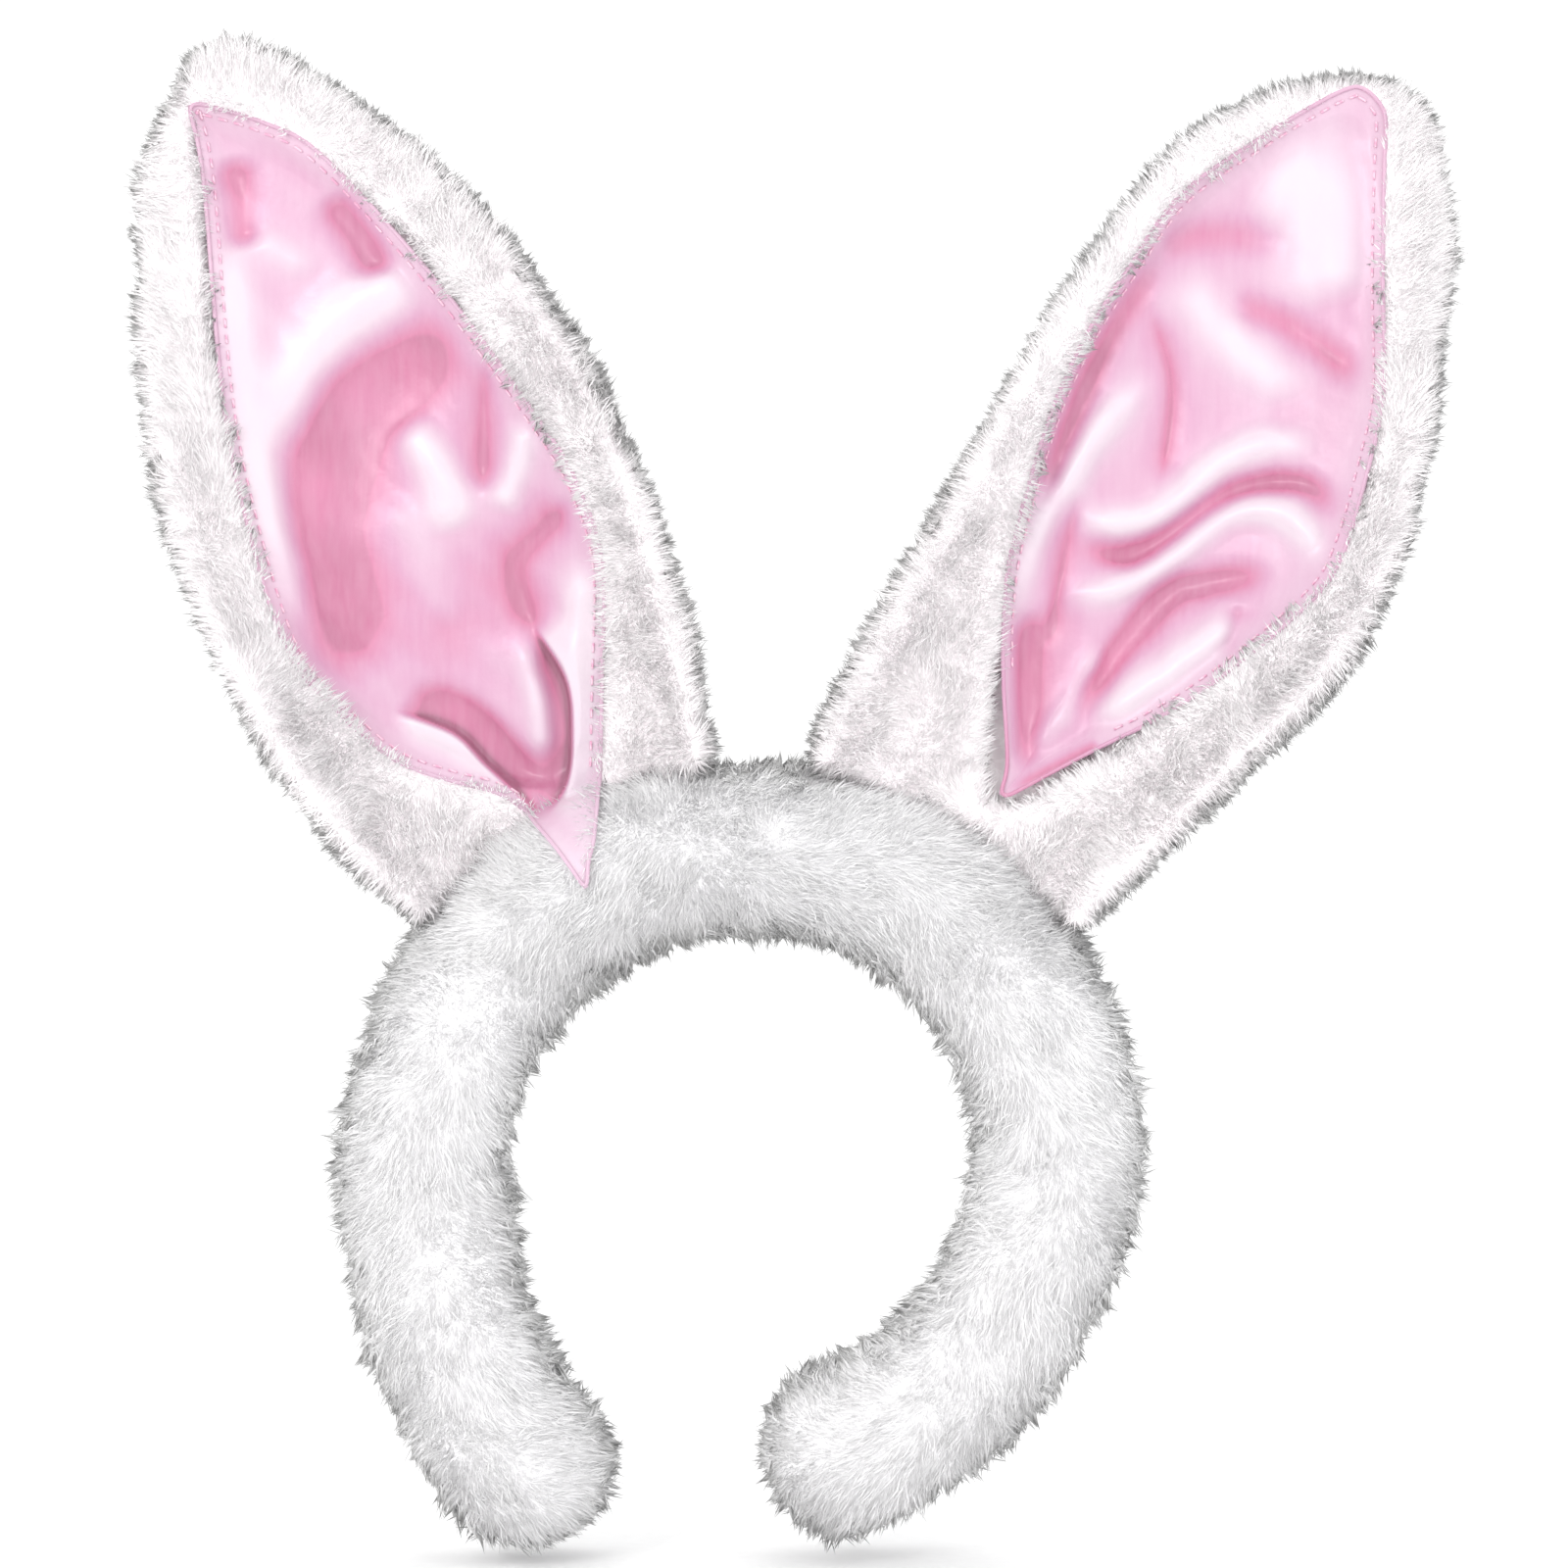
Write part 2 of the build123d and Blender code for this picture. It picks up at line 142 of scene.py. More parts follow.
class Shader:
    """A material under construction."""

    def __init__(self, name: str) -> None:
        """Starts an empty material.

        Args:
            name: the material's name.
        """
        self.material = bpy.data.materials.new(name)
        self.material.use_nodes = True
        self.tree = self.material.node_tree
        self.tree.nodes.clear()

    def add(self, kind: str, settings: dict | None, inputs: dict | None) -> bpy.types.ShaderNode:
        """Adds a node, sets it up and links it.

        Args:
            kind: the node's type.
            settings: its properties; "stops" holds a colour ramp's (place, colour) pairs.
            inputs: values or sockets for its inputs, by name or number.

        Returns:
            The node.
        """
        made = self.tree.nodes.new(kind)
        for key, value in (settings or {}).items():
            if key == "stops":
                ramp = made.color_ramp
                while len(ramp.elements) < len(value):
                    ramp.elements.new(0.5)
                for element, (place, colour) in zip(ramp.elements, value):
                    element.position = place
                    element.color = (*colour, 1.0)
            else:
                setattr(made, key, value)
        for key, value in (inputs or {}).items():
            if isinstance(value, Socket):
                self.tree.links.new(value.socket, made.inputs[key])
            else:
                made.inputs[key].default_value = value
        return made

    def node(self, kind: str, settings: dict | None = None, inputs: dict | None = None,
             out: int | str = 0) -> Socket:
        """Adds a node and hands back one of its outputs.

        Args:
            kind: the node's type.
            settings: its properties.
            inputs: values or sockets for its inputs, by name or number.
            out: which output to hand back.

        Returns:
            That output.
        """
        return Socket(self, self.add(kind, settings, inputs).outputs[out])

    def place(self, scale: Sequence[float] = (1, 1, 1), turn: Sequence[float] = (0, 0, 0)) -> Socket:
        """Object coordinates, scaled and turned.

        Args:
            scale: scale along each axis.
            turn: rotation about each axis, in radians.

        Returns:
            The coordinates.
        """
        where = self.node("ShaderNodeTexCoord", out="Object")
        return self.node("ShaderNodeMapping", None, {"Vector": where, "Scale": scale, "Rotation": turn})

    def noise(self, scale: float, detail: float = 3.0, where: Socket | None = None) -> Socket:
        """A noise texture from 0 to 1.

        Args:
            scale: features per metre.
            detail: octaves.
            where: coordinates; the object's own if left out.

        Returns:
            The noise.
        """
        where = where or self.node("ShaderNodeTexCoord", out="Object")
        return self.node("ShaderNodeTexNoise", None,
                         {"Vector": where, "Scale": scale, "Detail": detail, "Roughness": 0.55}, "Fac")

    def ramp(self, fac: Socket, stops: Sequence[tuple]) -> Socket:
        """Colours a value.

        Args:
            fac: the value.
            stops: (place, colour) pairs.

        Returns:
            The colour.
        """
        return self.node("ShaderNodeValToRGB", {"stops": stops}, {"Fac": fac}, "Color")

    def blend(self, fac: Socket | float, first: Socket | tuple, second: Socket | tuple,
              how: str = "MIX") -> Socket:
        """Mixes two colours.

        Args:
            fac: share of the second.
            first: the first colour.
            second: the second colour.
            how: the blend type.

        Returns:
            The mixed colour.
        """
        values = [value if isinstance(value, Socket) else (*value, 1.0) for value in (first, second)]
        return self.node("ShaderNodeMix", {"data_type": "RGBA", "blend_type": how, "clamp_factor": True},
                         {0: fac, 6: values[0], 7: values[1]}, 2)

    def bump(self, height: Socket, depth: float, strength: float = 1.0) -> Socket:
        """Turns a height from 0 to 1 into a normal.

        Args:
            height: the height.
            depth: metres from 0 to 1.
            strength: share of the effect.

        Returns:
            The normal.
        """
        return self.node("ShaderNodeBump", None,
                         {"Height": height, "Distance": depth, "Strength": strength}, "Normal")

    def finish(self, constants: dict, links: dict) -> bpy.types.Material:
        """Ends the tree in a Principled shader.

        Args:
            constants: values set on the shader's own sockets.
            links: sockets that vary over the surface.

        Returns:
            The material.
        """
        surface = self.node("ShaderNodeBsdfPrincipled", None, {**constants, **links})
        self.add("ShaderNodeOutputMaterial", None, {"Surface": surface})
        return self.material


# ---------------------------------------------------------------- finishes

@dataclass(frozen=True)
class PileFinish:
    """White pile; the locks that stand out sideways at the edges have tips painted grey as shade.

    Light that wanders from fibre to fibre deep in the pile is given as a faint glow at the roots.
    """

    name: str = "white_pile"
    root: tuple = (0.94, 0.937, 0.945)
    body: tuple = (0.975, 0.97, 0.975)
    tip: tuple = (0.95, 0.943, 0.95)
    # Painted shade: these two edge colours grey the tips of the locks at the band's and ears' edges.
    painted_edge_shade_body: tuple = (0.60, 0.60, 0.59)
    painted_edge_shade_tip: tuple = (0.12, 0.12, 0.115)
    # Painted light: the glow at the roots and part way up the strands.
    painted_inner_glow: tuple = (0.35, 0.345, 0.355)
    painted_outer_glow: tuple = (0.18, 0.177, 0.183)

    def build(self) -> bpy.types.Material:
        """Builds the material."""
        s = Shader(self.name)
        uv = s.node("ShaderNodeUVMap", {"uv_map": "OFBake"})
        painted_edge_shade = s.node("ShaderNodeSeparateXYZ", None, {"Vector": uv}, "X")
        along = Socket(s, painted_edge_shade.socket.node.outputs["Y"])
        soft = s.ramp(along, [(0.0, self.root), (0.35, self.body), (0.7, self.body), (1.0, self.tip)])
        # Painted shade: this ramp greys the tips of the sideways locks, and the UV's first coordinate says
        # how much.
        edge = s.ramp(along, [(0.0, self.root), (0.3, self.body), (0.6, self.painted_edge_shade_body),
                              (1.0, self.painted_edge_shade_tip)])
        colour = s.blend(painted_edge_shade, soft, edge)
        # Painted light: a glow near the roots that fades out before the tips.
        glow = s.ramp(along, [(0.0, self.painted_inner_glow), (0.45, self.painted_outer_glow), (0.75, (0.0, 0.0, 0.0))])
        return s.finish({"Roughness": 0.7, "Sheen Weight": 0.15, "Sheen Roughness": 0.5,
                         "Specular IOR Level": 0.2, "Emission Strength": 1.0},
                        {"Base Color": colour, "Emission Color": glow})


@dataclass(frozen=True)
class UndercoatFinish:
    """The knitted ground and the dense low pile on it, with a painted glow standing in for light scattered
    down into the pile.
    """

    name: str = "plush_undercoat"
    light: tuple = (0.975, 0.97, 0.97)
    dark: tuple = (0.90, 0.895, 0.90)
    painted_glow_low: tuple = (0.34, 0.337, 0.345)
    painted_glow_high: tuple = (0.41, 0.405, 0.413)
    fibres_per_m: float = 900.0
    depth: float = 0.0005

    def build(self) -> bpy.types.Material:
        """Builds the material."""
        s = Shader(self.name)
        fibres = s.noise(self.fibres_per_m, 2.0)
        clumps = s.noise(self.fibres_per_m / 6, 3.0)
        mix = fibres * 0.6 + clumps * 0.4
        colour = s.ramp(mix, [(0.3, self.dark), (0.62, self.light)])
        normal = s.bump(mix, self.depth)
        # Painted light: a glow over the whole ground, a little brighter on the fibre clumps.
        glow = s.ramp(mix, [(0.3, self.painted_glow_low), (0.62, self.painted_glow_high)])
        return s.finish({"Sheen Weight": 0.4, "Sheen Roughness": 0.6, "Specular IOR Level": 0.2,
                         "Emission Strength": 1.0},
                        {"Base Color": colour, "Normal": normal, "Roughness": 0.95 - mix * 0.2,
                         "Emission Color": glow})


@dataclass(frozen=True)
class SatinFinish:
    """Glossy pink satin with painted shade in its folds and creases and painted highlights on its ridges, and
    a fine diagonal weave.
    """

    name: str = "pink_satin"
    # Colours for the fold attribute: the darkest two are painted shade for creases and fold valleys, the
    # middle one is the satin's own pink, and the palest two are painted highlight.
    painted_crease_shadow: tuple = (0.24, 0.02, 0.07)
    deep: tuple = (0.60, 0.15, 0.29)
    middle: tuple = (0.62, 0.305, 0.46)
    high: tuple = (0.70, 0.52, 0.62)
    pale: tuple = (0.77, 0.69, 0.74)
    lilac: tuple = (0.58, 0.36, 0.54)
    threads_per_m: float = 1400.0
    weave_depth: float = 0.00004
    crinkles_per_m: float = 150.0
    crinkle_depth: float = 0.0005
    clouds_per_m: float = 45.0
    cloud_share: float = 0.18
    slubs_per_m: float = 520.0
    slub_share: float = 0.2
    slub_colour: tuple = (0.86, 0.72, 0.79)
    lilac_share: float = 0.3

    def build(self) -> bpy.types.Material:
        """Builds the material."""
        s = Shader(self.name)
        twill = s.node("ShaderNodeTexWave", {"wave_type": "BANDS", "bands_direction": "DIAGONAL"},
                       {"Vector": s.place((1, 0.2, 1)), "Scale": self.threads_per_m / 20,
                        "Distortion": 0.6, "Detail": 1.0}, "Fac")
        cloud = s.noise(self.clouds_per_m, 2.0)
        slub = s.noise(self.slubs_per_m, 2.0, s.place((1.0, 1.0, 0.12), (0, 0.5, 0)))
        # The fold attribute holds painted light: shade in valleys and creases, highlight on ridges; the
        # clouds add random tone.
        fold = s.node("ShaderNodeAttribute", {"attribute_name": "fold"}, None, "Fac")
        tone = fold + (cloud - 0.5) * self.cloud_share
        colour = s.ramp(tone, [(0.0, self.painted_crease_shadow), (0.18, self.deep), (0.5, self.middle),
                              (0.78, self.high), (1.0, self.pale)])
        colour = s.blend(s.noise(38.0, 1.0) * self.lilac_share, colour, self.lilac)
        colour = s.blend(slub * self.slub_share, colour, self.slub_colour)
        crinkle = s.noise(self.crinkles_per_m, 3.0)
        normal = s.bump(twill, self.weave_depth)
        fine = s.node("ShaderNodeBump", None, {"Height": crinkle, "Distance": self.crinkle_depth,
                                               "Strength": 0.5, "Normal": normal}, "Normal")
        rough = 0.33 + cloud * 0.08 + twill * 0.04
        return s.finish({"Specular IOR Level": 0.7, "Specular Tint": (1.0, 0.9, 0.95, 1.0),
                         "Sheen Weight": 0.2, "Sheen Roughness": 0.35,
                         "Sheen Tint": (1.0, 0.86, 0.92, 1.0), "Anisotropic": 0.45},
                        {"Base Color": colour, "Normal": fine, "Roughness": rough})


@dataclass(frozen=True)
class ThreadFinish:
    """Spun sewing thread, with its twist."""

    name: str
    colour: tuple
    shade: tuple

    def build(self) -> bpy.types.Material:
        """Builds the material."""
        s = Shader(self.name)
        ply = s.node("ShaderNodeTexWave", {"wave_type": "BANDS", "bands_direction": "DIAGONAL"},
                     {"Vector": s.place(), "Scale": 260.0, "Distortion": 1.0}, "Fac")
        colour = s.ramp(ply, [(0.2, self.shade), (0.7, self.colour)])
        return s.finish({"Specular IOR Level": 0.4, "Sheen Weight": 0.3},
                        {"Base Color": colour, "Normal": s.bump(ply, 0.0001), "Roughness": 0.75 - ply * 0.15})


@dataclass(frozen=True)
class FillingFinish:
    """Foam or wadding: pale, open and matt."""

    name: str
    light: tuple
    dark: tuple
    cells_per_m: float
    depth: float

    def build(self) -> bpy.types.Material:
        """Builds the material."""
        s = Shader(self.name)
        where = s.node("ShaderNodeTexCoord", out="Object")
        cells = s.node("ShaderNodeTexVoronoi", None, {"Vector": where, "Scale": self.cells_per_m}, "Distance")
        wisps = s.noise(self.cells_per_m / 3, 4.0)
        mix = cells * 0.7 + wisps * 0.5
        colour = s.ramp(mix, [(0.15, self.dark), (0.7, self.light)])
        rough = 0.98 - mix * 0.1
        return s.finish({"Specular IOR Level": 0.2, "Sheen Weight": 0.2},
                        {"Base Color": colour, "Normal": s.bump(mix, self.depth), "Roughness": rough})


@dataclass(frozen=True)
class StripFinish:
    """Springy moulded plastic with drawn lines along it and small scuffs."""

    name: str = "strip_plastic"

    def build(self) -> bpy.types.Material:
        """Builds the material."""
        s = Shader(self.name)
        lines = s.noise(900.0, 2.0, s.place((1.0, 1.0, 0.05)))
        scuffs = s.noise(120.0, 5.0)
        colour = s.ramp(scuffs, [(0.35, (0.80, 0.79, 0.74)), (0.65, (0.90, 0.89, 0.86))])
        rough = 0.4 + scuffs * 0.2
        return s.finish({"Specular IOR Level": 0.5},
                        {"Base Color": colour, "Normal": s.bump(lines, 0.00005), "Roughness": rough})


@dataclass(frozen=True)
class WireFinish:
    """Annealed wire, dull grey with drawing marks."""

    name: str = "annealed_wire"

    def build(self) -> bpy.types.Material:
        """Builds the material."""
        s = Shader(self.name)
        marks = s.noise(2400.0, 2.0, s.place((1.0, 1.0, 0.1)))
        tarnish = s.noise(90.0, 4.0)
        colour = s.ramp(tarnish, [(0.3, (0.42, 0.42, 0.43)), (0.7, (0.62, 0.62, 0.61))])
        rough = 0.35 + tarnish * 0.25
        return s.finish({"Metallic": 1.0},
                        {"Base Color": colour, "Normal": s.bump(marks, 0.00003), "Roughness": rough})


class Wardrobe:
    """Every finish of the headband, built once."""

    def __init__(self) -> None:
        """Builds the materials."""
        self.pile = PileFinish().build()
        self.undercoat = UndercoatFinish().build()
        # The ears' pile and ground are a little pinker than the band's, and their painted glow is stronger
        # and pinker.
        self.ear_pile = PileFinish("rosy_pile", root=(0.95, 0.925, 0.935), body=(0.98, 0.955, 0.965),
                                   tip=(0.96, 0.935, 0.945), painted_inner_glow=(0.46, 0.425, 0.44),
                                   painted_outer_glow=(0.28, 0.255, 0.265)).build()
        self.ear_undercoat = UndercoatFinish("rosy_undercoat", light=(0.98, 0.955, 0.965),
                                             dark=(0.93, 0.90, 0.91), painted_glow_low=(0.41, 0.38, 0.39),
                                             painted_glow_high=(0.48, 0.445, 0.46)).build()
        self.satin = SatinFinish().build()
        self.pink_thread = ThreadFinish("pink_thread", (0.93, 0.62, 0.74), (0.80, 0.42, 0.58)).build()
        self.white_thread = ThreadFinish("white_thread", (0.93, 0.92, 0.91), (0.78, 0.77, 0.77)).build()
        self.foam = FillingFinish("foam", (0.92, 0.90, 0.84), (0.78, 0.75, 0.66), 900.0, 0.0004).build()
        self.wadding = FillingFinish("wadding", (0.95, 0.95, 0.94), (0.82, 0.82, 0.82),
                                     260.0, 0.0012).build()
        self.strip = StripFinish().build()
        self.wire = WireFinish().build()

    def dress_node(self, node: str, material: bpy.types.Material) -> None:
        """Gives a CAD node's own object a better material.

        Args:
            node: the node's name.
            material: its material.
        """
        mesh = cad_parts[node].data
        mesh.materials.clear()
        mesh.materials.append(material)
        LOG.info("dressed %s", node)


# ---------------------------------------------------------------- meshes

def unit(vectors: Array) -> Array:
    """Vectors made one long."""
    return vectors / np.maximum(np.linalg.norm(vectors, axis=-1, keepdims=True), 1e-12)


def smooth(low: float, high: float, value: Array) -> Array:
    """A smooth step from 0 at low to 1 at high."""
    t = np.clip((value - low) / (high - low), 0.0, 1.0)
    return t * t * (3 - 2 * t)


def fill_triangles(mesh: bpy.types.Mesh, points: Array, faces: Array) -> None:
    """Fills an empty mesh from arrays, which is quick for many triangles.

    Args:
        mesh: the mesh.
        points: its vertices.
        faces: three vertex numbers for each triangle.
    """
    mesh.vertices.add(len(points))
    mesh.vertices.foreach_set("co", points.ravel().astype(np.float32))
    mesh.loops.add(faces.size)
    mesh.loops.foreach_set("vertex_index", faces.ravel().astype(np.int32))
    mesh.polygons.add(len(faces))
    mesh.polygons.foreach_set("loop_start", np.arange(0, faces.size, 3, dtype=np.int32))
    mesh.update(calc_edges=True)


def make_object(name: str, points: Array, faces: list | Array, material: bpy.types.Material,
                slot: Slot) -> bpy.types.Object:
    """Makes a smooth-shaded mesh object.

    Args:
        name: the piece's name.
        points: its vertices.
        faces: its faces, as lists of vertex numbers, or an array of triangles.
        material: its material.
        slot: the record's slot for its finish; not used.

    Returns:
        The object.
    """
    mesh = bpy.data.meshes.new(name)
    if isinstance(faces, np.ndarray):
        fill_triangles(mesh, points, faces)
    else:
        mesh.from_pydata(points.tolist(), [], faces)
    mesh.polygons.foreach_set("use_smooth", [True] * len(mesh.polygons))
    mesh.materials.append(material)
    mesh.update()
    piece = bpy.data.objects.new(name, mesh)
    bpy.context.scene.collection.objects.link(piece)
    return piece


def grid_faces(rows: int, columns: int, wrap: bool) -> list:
    """The quads of a grid of points.

    Args:
        rows: how many rows of points.
        columns: how many points in a row.
        wrap: whether each row closes on itself.

    Returns:
        The faces.
    """
    faces = []
    last = columns if wrap else columns - 1
    for i in range(rows - 1):
        for j in range(last):
            k = (j + 1) % columns
            faces.append((i * columns + j, i * columns + k, (i + 1) * columns + k, (i + 1) * columns + j))
    return faces


def catmull(points: Sequence[Sequence[float]], per_run: int, closed: bool = False) -> Array:
    """A smooth curve through points.

    Args:
        points: the points.
        per_run: samples from one point to the next.
        closed: whether the curve returns to its start.

    Returns:
        The samples, in order.
    """
    p = np.array(points, float)
    n = len(p)
    if closed:
        ring = np.vstack([p[-1], p, p[0], p[1]])
        runs = n
    else:
        ring = np.vstack([2 * p[0] - p[1], p, 2 * p[-1] - p[-2]])
        runs = n - 1
    t = np.linspace(0, 1, per_run, endpoint=False)[:, None]
    out = []
    for i in range(runs):
        a, b, c, d = ring[i:i + 4]
        out.append(0.5 * (2 * b + (c - a) * t + (2 * a - 5 * b + 4 * c - d) * t ** 2
                          + (3 * b - a - 3 * c + d) * t ** 3))
    if not closed:
        out.append(p[-1:])
    return np.vstack(out)


def tube_mesh(line: Array, radius: float, sides: int, closed: bool) -> tuple[Array, list]:
    """A round tube along a line.

    Args:
        line: its centreline.
        radius: its radius.
        sides: points round it.
        closed: whether the line is a ring.

    Returns:
        The points and faces.
    """
    if closed:
        tangent = unit(np.roll(line, -1, 0) - np.roll(line, 1, 0))
    else:
        tangent = unit(np.gradient(line, axis=0))
    across = unit(np.cross(tangent, np.array([0.02, 1.0, 0.03])))
    up = np.cross(across, tangent)
    angle = np.arange(sides) * 2 * math.pi / sides
    ring = (np.cos(angle)[None, :, None] * across[:, None] + np.sin(angle)[None, :, None] * up[:, None])
    points = (line[:, None] + ring * radius).reshape(-1, 3)
    faces = grid_faces(len(line), sides, True)
    if closed:
        start = (len(line) - 1) * sides
        faces += [(start + j, start + (j + 1) % sides, (j + 1) % sides, j) for j in range(sides)]
    else:
        faces.append(tuple(range(sides))[::-1])
        faces.append(tuple(range(len(points) - sides, len(points))))
    return points, faces


@dataclass
class Waves:
    """A smooth random field made of plane waves, the same on every run."""

    seed: int
    length: float
    count: int = 14

    def __post_init__(self) -> None:
        """Draws the waves."""
        rng = np.random.default_rng(self.seed)
        direction = unit(rng.normal(size=(self.count, 3)))
        self.waves = direction * 2 * math.pi / (self.length * rng.uniform(0.6, 1.7, (self.count, 1)))
        self.phase = rng.uniform(0, 2 * math.pi, self.count)

    def at(self, points: Array) -> Array:
        """The field at points, roughly from -1 to 1."""
        return np.sin(points @ self.waves.T + self.phase).sum(1) / math.sqrt(self.count)


# ---------------------------------------------------------------- pile

@dataclass
class Pile:
    """Pile as tapered three-sided strands: bent locks, or short straight hairs below them."""

    name: str
    count: int
    length: float
    seed: int
    bent: bool = True
    width: float = 0.21 * MM
    lean: float = 0.5
    tangle: float = 0.2
    gather: tuple = (0.2, 0.92)
    locks: int = 11
    side_trim: float = 0.22
    droop: float = 0.05
    crispness: float = 0.3
    swirl_length: float = 11 * MM
    length_spread: float = 0.18
    middle_share: float = 0.55
    patch_length: float = 2.6 * MM
    sunk: float = 0.5 * MM

    def __post_init__(self) -> None:
        """Starts the random source."""
        self.rng = np.random.default_rng(self.seed)

    def roots(self, points: Array, faces: Array, weight: Array) -> tuple[Array, Array]:
        """Scatters roots over a triangle mesh.

        Args:
            points: the mesh's vertices.
            faces: its triangles.
            weight: how densely each triangle is covered.

        Returns:
            The roots and their normals.
        """
        rng = self.rng
        a, b, c = (points[faces[:, k]] for k in range(3))
        cross = np.cross(b - a, c - a)
        area = np.linalg.norm(cross, axis=1) / 2
        normals = np.zeros_like(points)
        for k in range(3):
            np.add.at(normals, faces[:, k], cross)
        normals = unit(normals)
        chance = area * weight
        picked = rng.choice(len(faces), self.count, p=chance / chance.sum())
        r, t = np.sqrt(rng.random(self.count)), rng.random(self.count)
        share = np.stack([1 - r, r * (1 - t), r * t], 1)
        corners = faces[picked]
        place = (points[corners] * share[:, :, None]).sum(1)
        return place, unit((normals[corners] * share[:, :, None]).sum(1))

    def _course(self, place: Array, normal: Array, comb: Array, scale: Array,
                aside: Array) -> tuple[Array, Array]:
        """Where each strand bends and ends.

        Args:
            place: the roots.
            normal: the ground's normal at each root.
            comb: the way each strand is combed.
            scale: each strand's share of the pile's length.
            aside: how much each strand stands at an edge.

        Returns:
            The middles and the tips.
        """
        rng, n = self.rng, len(place)
        comb = comb - normal * (comb * normal).sum(1, keepdims=True)
        strength = np.clip(np.linalg.norm(comb, axis=1, keepdims=True), 0, 1)
        comb = unit(comb)
        swirl = np.stack([Waves(self.seed + 2 + k, self.swirl_length).at(place) for k in range(3)], 1)
        stray = rng.normal(size=(n, 3))
        lean = self.lean * strength
        tangle = self.tangle * (1 + 0.8 * aside[:, None])
        first = unit(normal * (1 - lean) + comb * lean + swirl * tangle + stray * tangle * 0.5)
        first = unit(first + normal * np.maximum(0, 0.3 - (first * normal).sum(1, keepdims=True)))
        second = unit(first + comb * 0.3 * strength + stray * self.tangle * 0.6
                      + rng.normal(size=(n, 3)) * 0.12 + np.array([0, 0, -self.droop]))
        long = self.length * scale * np.clip(rng.normal(1.0, self.length_spread, n), 0.5, 1.4)
        long *= 1 - self.side_trim * aside
        middle = place + first * long[:, None] * self.middle_share
        tip = middle + second * long[:, None] * (1 - self.middle_share)
        if not self.bent:
            return middle, tip
        leaders = np.arange(0, n, self.locks)
        tree = kdtree.KDTree(len(leaders))
        for i in leaders:
            tree.insert(place[i].tolist(), int(i))
        tree.balance()
        lead = np.array([tree.find(p)[1] for p in place.tolist()])
        inner, outer = self.gather
        pull = inner + (outer - inner) * aside
        pull = np.clip(pull * rng.normal(1.0, 0.2, n), 0, 0.93)[:, None]
        target = place[lead] + (tip[lead] - place[lead]) * (long / long[lead])[:, None]
        middle = middle + (place[lead] - place + middle[lead] - middle) * pull * 0.2
        return middle, tip + (target - tip) * pull

    def grow(self, place: Array, normal: Array, comb: Array, scale: Array, aside: Array,
             material: bpy.types.Material) -> bpy.types.Object:
        """Grows the strands and joins them into one piece.

        Args:
            place: the roots.
            normal: the ground's normal at each root.
            comb: the way each strand is combed.
            scale: each strand's share of the pile's length.
            aside: how much each strand stands at an edge, from 0 to 1.
            material: the pile's material.

        Returns:
            The piece.
        """
        n = len(place)
        middle, tip = self._course(place, normal, comb, scale, aside)
        base = place - normal * self.sunk
        thick = self.width * np.clip(self.rng.normal(1.0, 0.25, n), 0.5, 1.7)[:, None]
        along = unit(tip - base)
        side = unit(np.cross(along, self.rng.normal(size=(n, 3))))
        other = np.cross(along, side)
        rings, spread = [], []
        waist = 0.75 + 0.5 * aside[:, None]
        for centre, share in ((base, 1.0), (middle, waist))[:2 if self.bent else 1]:
            for k in range(3):
                a = 2 * math.pi * k / 3
                away = side * math.cos(a) + other * math.sin(a)
                rings.append(centre + away * thick * share)
                spread.append(away)
        points = np.stack([*rings, tip], 1)
        size = points.shape[1]
        corners = [(0, 1, 3), (1, 2, 3), (2, 0, 3), (0, 2, 1)]
        if self.bent:
            corners = [(0, 1, 4), (0, 4, 3), (1, 2, 5), (1, 5, 4), (2, 0, 3), (2, 3, 5),
                       (3, 4, 6), (4, 5, 6), (5, 3, 6), (0, 2, 1)]
        start = np.arange(n)[:, None] * size
        faces = np.concatenate([start + np.array(corner) for corner in corners])
        piece = make_object(self.name, points.reshape(-1, 3), faces, material, Slot.PLUSH)
        own = np.stack([*spread, along], 1)
        shading = unit(normal[:, None] * (1 - self.crispness) + own * self.crispness)
        piece.data.normals_split_custom_set_from_vertices(shading.reshape(-1, 3).tolist())
        self._mark(piece, place, aside, size)
        LOG.info("%s: %d strands", self.name, n)
        return piece

    def _mark(self, piece: bpy.types.Object, place: Array, aside: Array, size: int) -> None:
        """Writes a UV layer: across it how much painted shade greys a strand's tip, up it the place along the
        strand.

        Args:
            piece: the pile's object.
            place: the roots.
            aside: how much each strand stands at an edge.
            size: how many vertices a strand has.
        """
        # Painted shade on the edge locks' tips, patchy from lock to lock, plus a little random tone on every
        # strand.
        patch = smooth(-0.5, 0.5, Waves(self.seed + 9, self.patch_length).at(place))
        shade = aside * (0.38 + 0.47 * patch) + self.rng.uniform(0.03, 0.14, len(aside))
        level = np.array([0.02] * 3 + ([self.middle_share] * 3 if self.bent else []) + [0.98])
        aside = np.array([-0.006, 0.0, 0.006] * (2 if self.bent else 1) + [0.0])
        corner = np.zeros(len(piece.data.loops), int)
        piece.data.loops.foreach_get("vertex_index", corner)
        uv = np.stack([shade[corner // size] + aside[corner % size], level[corner % size]], 1)
        layer = piece.data.uv_layers.new(name="OFBake")
        layer.data.foreach_set("uv", uv.ravel())


def sideways(normal: Array) -> Array:
    """How far the cloth faces away from front and back, from 0 to 1.

    Args:
        normal: the cloth's normals.

    Returns:
        The shares.
    """
    return smooth(0.76, 0.28, np.abs(normal[:, 1]))


